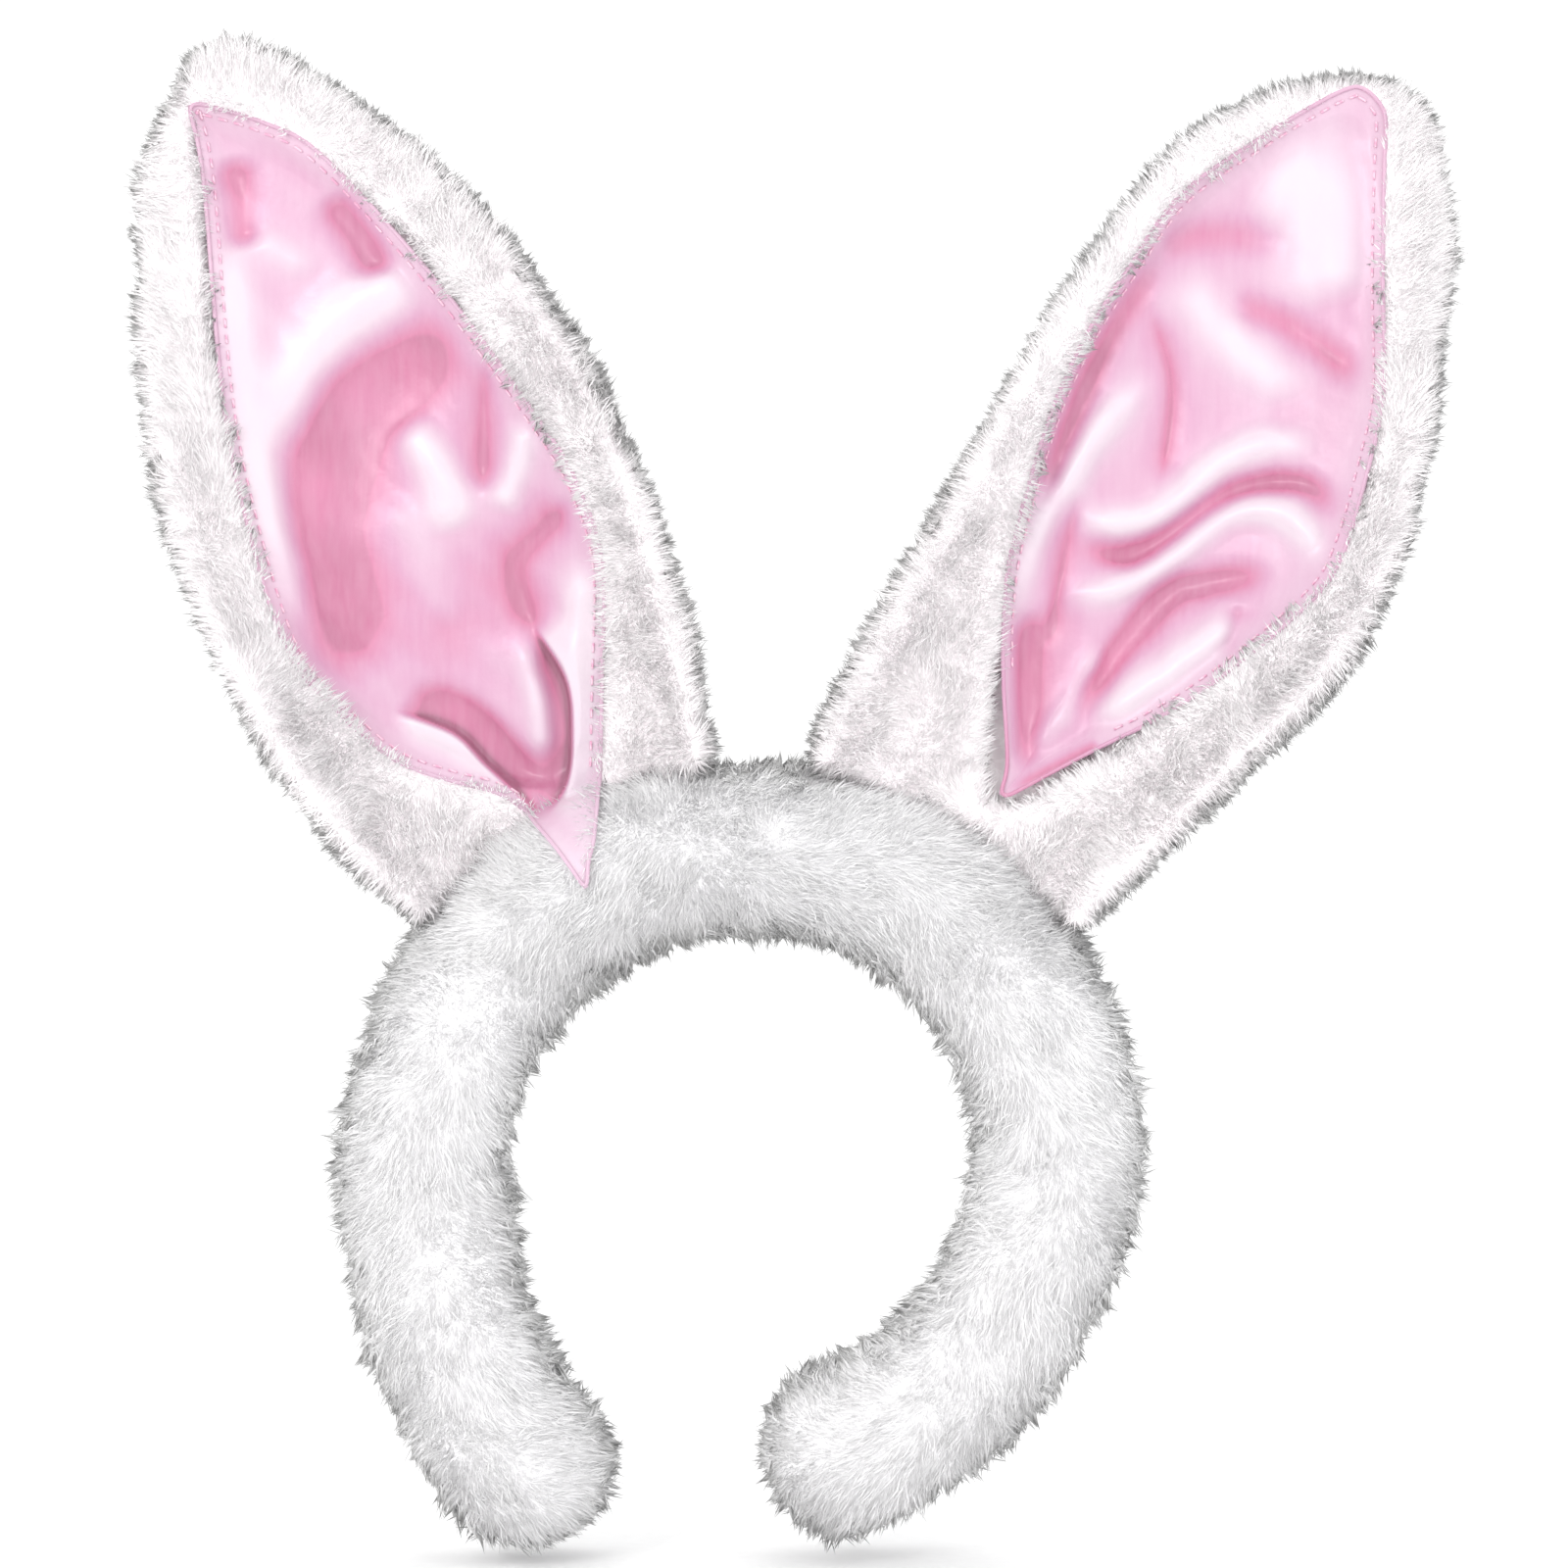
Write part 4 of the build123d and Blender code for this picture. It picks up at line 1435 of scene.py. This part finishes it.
@dataclass
class Satin:
    """The satin lining of one ear, gathered into folds, with its rolled hem and topstitching."""

    shape: EarShape
    cloth: bpy.types.Material
    thread: bpy.types.Material
    rows: int = 300
    columns: int = 150
    rest_depth: float = -6.2
    edge_depth: float = -7.8
    depth_limits: tuple = (-11.0, -2.7)
    floor_softness: float = 1.2
    floor_gap: float = 0.6
    fold_gain: float = 1.55
    band_radius: float = 78.2
    drape_radius: float = 22.6
    hem_radius: float = 0.5
    stitch_inset: float = 2.6
    stitch_length: float = 2.3
    stitch_pitch: float = 4.0
    stitch_radius: float = 0.28
    stitch_foot: float = 26.0
    ripple_length: float = 6.5
    ripple_height: float = 0.12
    swell_length: float = 24.0
    swell_height: float = 0.30
    # The tone attribute: a plain level, painted shade and highlight by the folds' height, and painted shadow
    # along the creases.
    plain_tone: float = 0.6
    painted_fold_light: float = 0.2
    painted_crease_shadow_tone: float = 0.55
    take_up: tuple = (1.08, 1.03)

    def __post_init__(self) -> None:
        """Samples the two edges of the cloth."""
        self.left = catmull(self.shape.satin_left, 10)
        self.right = catmull(self.shape.satin_right, 10)
        self.window = self.shape.window.points()[:-1]
        self.ring = np.vstack([self.left, self.right[::-1]])

    def height(self, where: Array) -> Array:
        """The folds' height at points.

        Args:
            where: (u, v) pairs.

        Returns:
            Heights towards the front, in millimetres.
        """
        total = np.zeros(len(where))
        for fold in self.shape.folds:
            total += self.fold_gain * fold.at(where)
        space = np.stack([where[:, 0], where[:, 1] * 0.6, np.zeros(len(where))], 1)
        seed = 5 if self.shape.side is Side.LEFT else 9
        total += self.swell_height * Waves(seed, self.swell_length).at(space)
        ripple = np.stack([where[:, 0] + 0.45 * where[:, 1], where[:, 1] * 0.22, np.zeros(len(where))], 1)
        return total + self.ripple_height * Waves(seed + 1, self.ripple_length, 18).at(ripple)

    def depth(self, where: Array) -> tuple[Array, Array]:
        """How deep the cloth lies, and its folds' height.

        Args:
            where: (u, v) pairs.

        Returns:
            Depths and heights in millimetres.
        """
        inset = -outside_distance(where, self.ring)
        past = outside_distance(where, self.window)
        folds = self.height(where) * smooth(-1.0, 9.0, inset)
        over = np.maximum(smooth(-5.5, 0.5, past), smooth(6.0, 0.0, inset))
        base = self.rest_depth + (self.edge_depth - self.rest_depth) * over
        high, low = self.depth_limits
        floor = low + (self.edge_depth + self.floor_gap - low) * smooth(-3.0, 0.5, past)
        deep = base - folds
        soft = self.floor_softness
        excess = (deep - floor) / soft
        deep = np.where(excess > -3, floor - soft * np.log1p(np.exp(-np.clip(excess, -3, 30))), deep)
        return np.maximum(deep, high), folds

    def place(self, where: Array, lift: float = 0.0) -> Array:
        """Points on the cloth in the frame.

        Args:
            where: (u, v) pairs.
            lift: millimetres in front of the cloth.

        Returns:
            Points in metres.
        """
        deep, _ = self.depth(where)
        return self.drape(self.shape.world(where, self.shape.cup(where, deep - lift)), lift)

    def drape(self, points: Array, lift: float = 0.0) -> Array:
        """Brings the part that hangs over the band in front of the band's pile.

        Args:
            points: points in metres.
            lift: millimetres in front of the cloth.

        Returns:
            The points, moved to the front where needed.
        """
        over = np.hypot(points[:, 0], points[:, 2]) / MM - self.band_radius
        reach = self.drape_radius + lift
        front = np.sqrt(np.maximum(reach ** 2 - over ** 2, 0.0)) - 4.0 * np.maximum(over - reach, 0.0)
        height = -points[:, 1] / MM
        joined = 0.5 * (height + front + np.sqrt((height - front) ** 2 + 6.0))
        return np.stack([points[:, 0], -joined * MM, points[:, 2]], 1)

    def cloth_mesh(self) -> bpy.types.Object:
        """The lining itself, with painted shade and highlight from its folds kept as an attribute."""
        low, high = self.left[0, 1], self.left[-1, 1]
        v = low + (high - low) * np.linspace(0, 1, self.rows)
        left = np.interp(v, self.left[:, 1], self.left[:, 0])
        right = np.interp(v, self.right[:, 1], self.right[:, 0])
        s = np.linspace(0, 1, self.columns)
        u = left[:, None] + (right - left)[:, None] * s
        where = np.stack([u, np.repeat(v[:, None], self.columns, 1)], -1).reshape(-1, 2)
        deep, folds = self.depth(where)
        points = self.drape(self.shape.world(where, self.shape.cup(where, deep)))
        faces = grid_faces(self.rows, self.columns, False)
        piece = make_object(f"{self.shape.side.value}_satin", points, faces, self.cloth, Slot.SATIN)
        inset = -outside_distance(where, self.ring)
        # Painted light in the tone attribute: highlight towards the lining's lower end and along its rim,
        # shade and highlight by the folds' height, and shadow along the creases.
        pale = 0.16 * smooth(9.0, -6.0, where[:, 1]) + 0.12 * smooth(9.0, 0.0, inset)
        tone = np.clip(self.plain_tone + folds * self.painted_fold_light + pale, 0.14, 1.0)
        tone -= self.painted_crease_shadow_tone * self.painted_crease_shadow(where)
        attribute = piece.data.attributes.new("fold", "FLOAT", "POINT")
        attribute.data.foreach_set("value", np.clip(tone, 0.0, 1.0).astype(np.float32))
        return piece

    def painted_crease_shadow(self, where: Array) -> Array:
        """How much painted shadow lies near the sharp lines where one flap of cloth lies over another.

        Args:
            where: (u, v) pairs.

        Returns:
            Shares from 0 to 1.
        """
        total = np.zeros(len(where))
        for fold in self.shape.folds:
            if fold.kind is FoldKind.STEP:
                distance, side, share = polyline_distance(where, catmull(fold.line, 6))
                fade = smooth(0.0, 0.3, share) * smooth(0.0, 0.1, 1 - share)
                # The painted shadow reaches further on one side of the line than on the other.
                shaded = np.where(side > 0, 1.5, 0.6)
                total = np.maximum(total, fade * np.exp(-(distance / shaded) ** 2))
        return total

    def rim_line(self, inset: float, lift: float, count: int) -> tuple[Array, Array]:
        """A closed line round the lining.

        Args:
            inset: millimetres in from its edge.
            lift: millimetres in front of the cloth.
            count: how many points.

        Returns:
            The points in metres, and their (u, v) pairs.
        """
        ring = np.vstack([self.ring, self.ring[:1]])
        run = np.concatenate([[0], np.cumsum(np.linalg.norm(np.diff(ring, axis=0), axis=1))])
        along = np.linspace(0, run[-1], count, endpoint=False)
        line = np.stack([np.interp(along, run, ring[:, k]) for k in range(2)], 1)
        for _ in range(3):
            line = (np.roll(line, 1, 0) + 2 * line + np.roll(line, -1, 0)) / 4
        tangent = unit(np.roll(line, -1, 0) - np.roll(line, 1, 0))
        inward = np.stack([tangent[:, 1], -tangent[:, 0]], 1)
        line = line + inward * inset
        return self.place(line, lift), line

    def hem(self) -> bpy.types.Object:
        """The rolled hem, a thin roll of the same satin."""
        line, flat = self.rim_line(0.2, 0.3, 420)
        points, faces = tube_mesh(line, self.hem_radius * MM, 10, True)
        piece = make_object(f"{self.shape.side.value}_satin_hem", points, faces, self.cloth, Slot.SATIN)
        attribute = piece.data.attributes.new("fold", "FLOAT", "POINT")
        top, foot = self.shape.hem_tones
        tone = foot + (top - foot) * smooth(12.0, 55.0, flat[:, 1])
        attribute.data.foreach_set("value", np.repeat(tone, len(points) // len(line)).astype(np.float32))
        return piece

    def stitches(self) -> bpy.types.Object:
        """The dashes of topstitching just inside the hem."""
        fine, flat = self.rim_line(self.stitch_inset, 0.25, 1400)
        run = np.concatenate([[0], np.cumsum(np.linalg.norm(np.diff(fine, axis=0), axis=1))]) / MM
        points, faces = [], []
        begin = 1.0
        while begin + self.stitch_length < run[-1]:
            at = begin + np.linspace(0, 1, 5) * self.stitch_length
            dash = np.stack([np.interp(at, run, fine[:, k]) for k in range(3)], 1)
            v = np.interp(begin, run, flat[:, 1])
            if v > flat[:, 1].min() + self.stitch_foot:
                body, sides = tube_mesh(dash, self.stitch_radius * MM, 6, False)
                faces += [tuple(k + len(points) * len(body) for k in face) for face in sides]
                points.append(body)
            begin += self.stitch_pitch
        name = f"{self.shape.side.value}_topstitching"
        return make_object(name, np.vstack(points), faces, self.thread, Slot.PINK_THREAD)

    def build(self) -> bpy.types.Object:
        """Builds the lining with its hem and stitches.

        Returns:
            The lining.
        """
        name = self.shape.side.value
        cloth, hem, stitches = self.cloth_mesh(), self.hem(), self.stitches()
        for piece in (cloth, hem, stitches):
            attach(piece, f"{name}_ear")
        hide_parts(f"{name}_ear_lining")
        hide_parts(f"{name}_ear_topstitches")
        across, along = (self.ring.max(0) - self.ring.min(0)) * MM * self.take_up
        return cloth


@dataclass
class Ear:
    """One plush ear."""

    shape: EarShape
    furrier: Furrier
    undercoat: bpy.types.Material
    satin: Satin
    voxel: float = 1.9 * MM
    rounds: int = 6
    strands: int = 18500
    hairs: int = 46000
    pile_length: float = 6.6 * MM
    underpile_share: float = 0.75
    back_depth: float = 5.6
    rim_depth: float = -4.6
    edge_width: float = 2.6
    satin_gap: float = 0.2
    satin_tuck: float = 1.5

    def __post_init__(self) -> None:
        """Measures distances from the ear's outlines."""
        self.window_map = DistanceMap(self.satin.window)
        self.satin_map = DistanceMap(self.satin.ring)
        self.outline_map = DistanceMap(self.shape.outline.points()[:-1])

    def ground(self) -> bpy.types.Object:
        """The ear's plush ground, softened from the CAD shell."""
        name = self.shape.side.value
        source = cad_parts[f"{name}_ear_shell"]
        probe = bpy.data.objects.new("probe", source.data.copy())
        bpy.context.scene.collection.objects.link(probe)
        remesh = probe.modifiers.new("remesh", "REMESH")
        remesh.mode, remesh.voxel_size = "VOXEL", self.voxel
        soften = probe.modifiers.new("soften", "SMOOTH")
        soften.factor, soften.iterations = 0.5, self.rounds
        graph = bpy.context.evaluated_depsgraph_get()
        mesh = bpy.data.meshes.new_from_object(probe.evaluated_get(graph))
        bpy.data.objects.remove(probe)
        mesh.materials.clear()
        mesh.materials.append(self.undercoat)
        mesh.polygons.foreach_set("use_smooth", [True] * len(mesh.polygons))
        piece = bpy.data.objects.new(f"{name}_ear_ground", mesh)
        bpy.context.scene.collection.objects.link(piece)
        return piece

    def _measures(self, points: Array) -> tuple[Array, Array, Array, Array]:
        """Where points lie on the ear.

        Args:
            points: points in metres.

        Returns:
            (u, v) pairs, depths, distance outside the satin or window, distance inside the outline.
        """
        where, depth = self.shape.local(points)
        past = np.minimum(self.window_map.at(where), self.satin_map.at(where))
        return where, depth, past, -self.outline_map.at(where)

    def _skin(self, points: Array) -> Array:
        """Which points are on the outer face of the ear, clear of the satin and of the cavity.

        Args:
            points: points in metres.

        Returns:
            Whether each one is.
        """
        where, depth, past, inside = self._measures(points)
        back = depth > self.back_depth
        edge = inside < self.edge_width
        brink = self.satin_gap - self.satin_tuck * smooth(16.0, 8.0, where[:, 1])
        rim = (depth < self.rim_depth) & (past > brink)
        return (back | edge | rim) & ((past > brink) | back)

    def _comb(self, points: Array, normals: Array) -> Array:
        """Combs the pile outwards from the satin and up towards the tip.

        Args:
            points: the roots.
            normals: the ground's normals there.

        Returns:
            Directions.
        """
        where, depth, past, _ = self._measures(points)
        out = self.shape.direction(self.satin_map.away(where))
        up = self.shape.direction(np.tile([0.0, 1.0], (len(points), 1)))
        front = smooth(2.0, -3.0, depth)[:, None]
        away = smooth(0.5, 6.0, past)[:, None]
        drift = np.stack([Waves(71 + k, 38 * MM).at(points) for k in range(3)], 1)
        return out * front * (away * 0.9 + 0.05) + up * (0.35 + 0.5 * (1 - front)) + drift * 0.45

    def _length(self, points: Array) -> Array:
        """The pile is shorter beside the satin.

        Args:
            points: the roots.

        Returns:
            Shares of the full length.
        """
        _, depth, past, _ = self._measures(points)
        near = np.where(depth < 0, smooth(0.0, 6.0, past), 1.0)
        return (0.8 + 0.2 * near) * (1.0 + 0.10 * Waves(83, 26 * MM).at(points))

    def build(self) -> None:
        """Builds the ear with its pile and lining."""
        name = self.shape.side.value
        ground = self.ground()
        seed = 200 if self.shape.side is Side.LEFT else 260
        piles = []
        parts = (("back_pile", 0, True, lambda depth: depth > 3.0),
                 ("rim_pile", 10, True, lambda depth: depth < -3.5),
                 ("edge_pile", 20, True, lambda depth: (depth <= 3.0) & (depth >= -3.5)),
                 ("back_underpile", 30, False, lambda depth: depth > 0.0),
                 ("rim_underpile", 40, False, lambda depth: depth <= 0.0))
        for label, shift, bent, zone in parts:
            pile = Pile(f"{name}_ear_{label}", self.strands if bent else self.hairs,
                        self.pile_length * (1.0 if bent else self.underpile_share), seed + shift, bent)

            def where(centre: Array, zone: Callable = zone) -> Array:
                """Keeps the outer skin in one range of depths.

                Args:
                    centre: the triangles' centres.
                    zone: which depths belong to the part.

                Returns:
                    1 where pile grows, and 0 elsewhere.
                """
                _, depth, _, _ = self._measures(centre)
                return np.where(self._skin(centre) & zone(depth), 1.0, 0.0)

            piles.append(self.furrier.lay(ground, pile, where, self._comb, self._length))
        for piece in (ground, *piles):
            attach(piece, f"{name}_ear")
        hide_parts(f"{name}_ear_shell")
        self.satin.build()
        LOG.info("ear %s built", name)


# ---------------------------------------------------------------- studio

@dataclass
class Studio:
    """A plain pale floor, soft lights and the camera."""

    floor_radius: float = 1.2
    floor_rings: int = 24
    floor_sides: int = 96
    fade_start: float = 0.18
    gap: float = 0.0004
    camera_place: tuple = (0.0096, -1.0667, 0.0941)
    lens: float = 100.0
    world_light: float = 1.12

    def floor(self, height: float) -> None:
        """A pale disc that fades into the background.

        Args:
            height: how high it lies.
        """
        sides = self.floor_sides
        angle = np.arange(sides) * 2 * math.pi / sides
        rings = [np.stack([np.cos(angle) * r, np.sin(angle) * r, np.full(sides, height)], 1)
                 for r in np.linspace(0.02, 1, self.floor_rings) * self.floor_radius]
        points = np.vstack(rings)
        faces = grid_faces(self.floor_rings, sides, True) + [tuple(range(sides))]
        s = Shader("floor_paper")
        grain = s.noise(300.0, 3.0)
        length = s.node("ShaderNodeVectorMath", {"operation": "LENGTH"}, {0: s.place((1, 1, 0))}, "Value")
        fade = s.node("ShaderNodeMapRange", {"interpolation_type": "SMOOTHSTEP"},
                      {"Value": length, "From Min": self.fade_start, "From Max": self.floor_radius * 0.9,
                       "To Min": 1.0, "To Max": 0.0})
        colour = s.ramp(grain, [(0.3, (0.93, 0.93, 0.93)), (0.7, (0.96, 0.96, 0.96))])
        material = s.finish({"Specular IOR Level": 0.2},
                            {"Base Color": colour, "Alpha": fade, "Roughness": 0.9 - grain * 0.1})
        mesh = bpy.data.meshes.new("floor")
        mesh.from_pydata(points.tolist(), [], faces)
        mesh.materials.append(material)
        piece = bpy.data.objects.new("floor", mesh)
        bpy.context.scene.collection.objects.link(piece)
        piece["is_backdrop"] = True

    def light(self, name: str, place: Sequence[float], size: float, watts: float,
              colour: Sequence[float]) -> None:
        """A square soft light aimed at the headband.

        Args:
            name: its name.
            place: where it stands.
            size: its side.
            watts: its power.
            colour: its colour.
        """
        lamp = bpy.data.lights.new(name, "AREA")
        lamp.shape, lamp.size, lamp.energy, lamp.color = "SQUARE", size, watts, colour
        piece = bpy.data.objects.new(name, lamp)
        bpy.context.scene.collection.objects.link(piece)
        piece.location = place
        away = np.array(place) - np.array([0.0, 0.0, 0.1])
        away /= np.linalg.norm(away)
        piece.rotation_euler = (math.acos(away[2]), 0.0, math.atan2(away[1], away[0]) + math.pi / 2)
        piece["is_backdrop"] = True

    def build(self, lowest: float) -> None:
        """Builds the studio.

        Args:
            lowest: the headband's lowest point.
        """
        self.floor(lowest - self.gap)
        self.light("key", (-0.8, -1.3, 0.65), 0.4, 7.0, (1.0, 0.99, 0.985))
        self.light("fill", (1.2, -0.9, 0.5), 0.8, 3.0, (0.97, 0.98, 1.0))
        self.light("top", (0.1, 0.5, 1.5), 0.9, 3.0, (1.0, 1.0, 1.0))
        world = bpy.data.worlds.new("studio")
        world.use_nodes = True
        back = world.node_tree.nodes["Background"]
        back.inputs["Color"].default_value = (1.0, 1.0, 1.0, 1.0)
        back.inputs["Strength"].default_value = self.world_light
        bpy.context.scene.world = world
        bpy.context.scene.view_settings.view_transform = "Standard"
        lens = bpy.data.cameras.new("camera")
        lens.lens, lens.sensor_width, lens.clip_start = self.lens, 36.0, 0.01
        camera = bpy.data.objects.new("camera", lens)
        bpy.context.scene.collection.objects.link(camera)
        camera.location = self.camera_place
        camera.rotation_euler = (math.pi / 2, 0.0, 0.0)
        bpy.context.scene.camera = camera


def dress_cad(wardrobe: Wardrobe) -> None:
    """Gives every CAD node that still shows its finish.

    Args:
        wardrobe: the finishes.
    """
    endings = (("_strip", wardrobe.strip), ("_padding", wardrobe.foam), ("_wadding", wardrobe.wadding),
               ("_wire", wardrobe.wire), ("_stitches", wardrobe.white_thread))
    for node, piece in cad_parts.items():
        if piece.hide_render:
            continue
        for ending, material in endings:
            if node.endswith(ending):
                wardrobe.dress_node(node, material)
                ending in ("_padding", "_wadding")


def lowest_point() -> float:
    """The lowest point of every piece that shows."""
    return min(vertex.co.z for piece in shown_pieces() for vertex in piece.data.vertices)


def main() -> None:
    """Builds the headband and its studio."""
    logging.basicConfig(level=logging.INFO, format="%(message)s")
    wardrobe = Wardrobe()
    band = Band(Furrier(wardrobe.pile), wardrobe.undercoat)
    for side in Side:
        band.build(side)
    for shape in (LEFT_EAR, RIGHT_EAR):
        satin = Satin(shape, wardrobe.satin, wardrobe.pink_thread)
        Ear(shape, Furrier(wardrobe.ear_pile), wardrobe.ear_undercoat, satin).build()
    dress_cad(wardrobe)
    Studio().build(lowest_point())


if __name__ == "__main__":
    main()
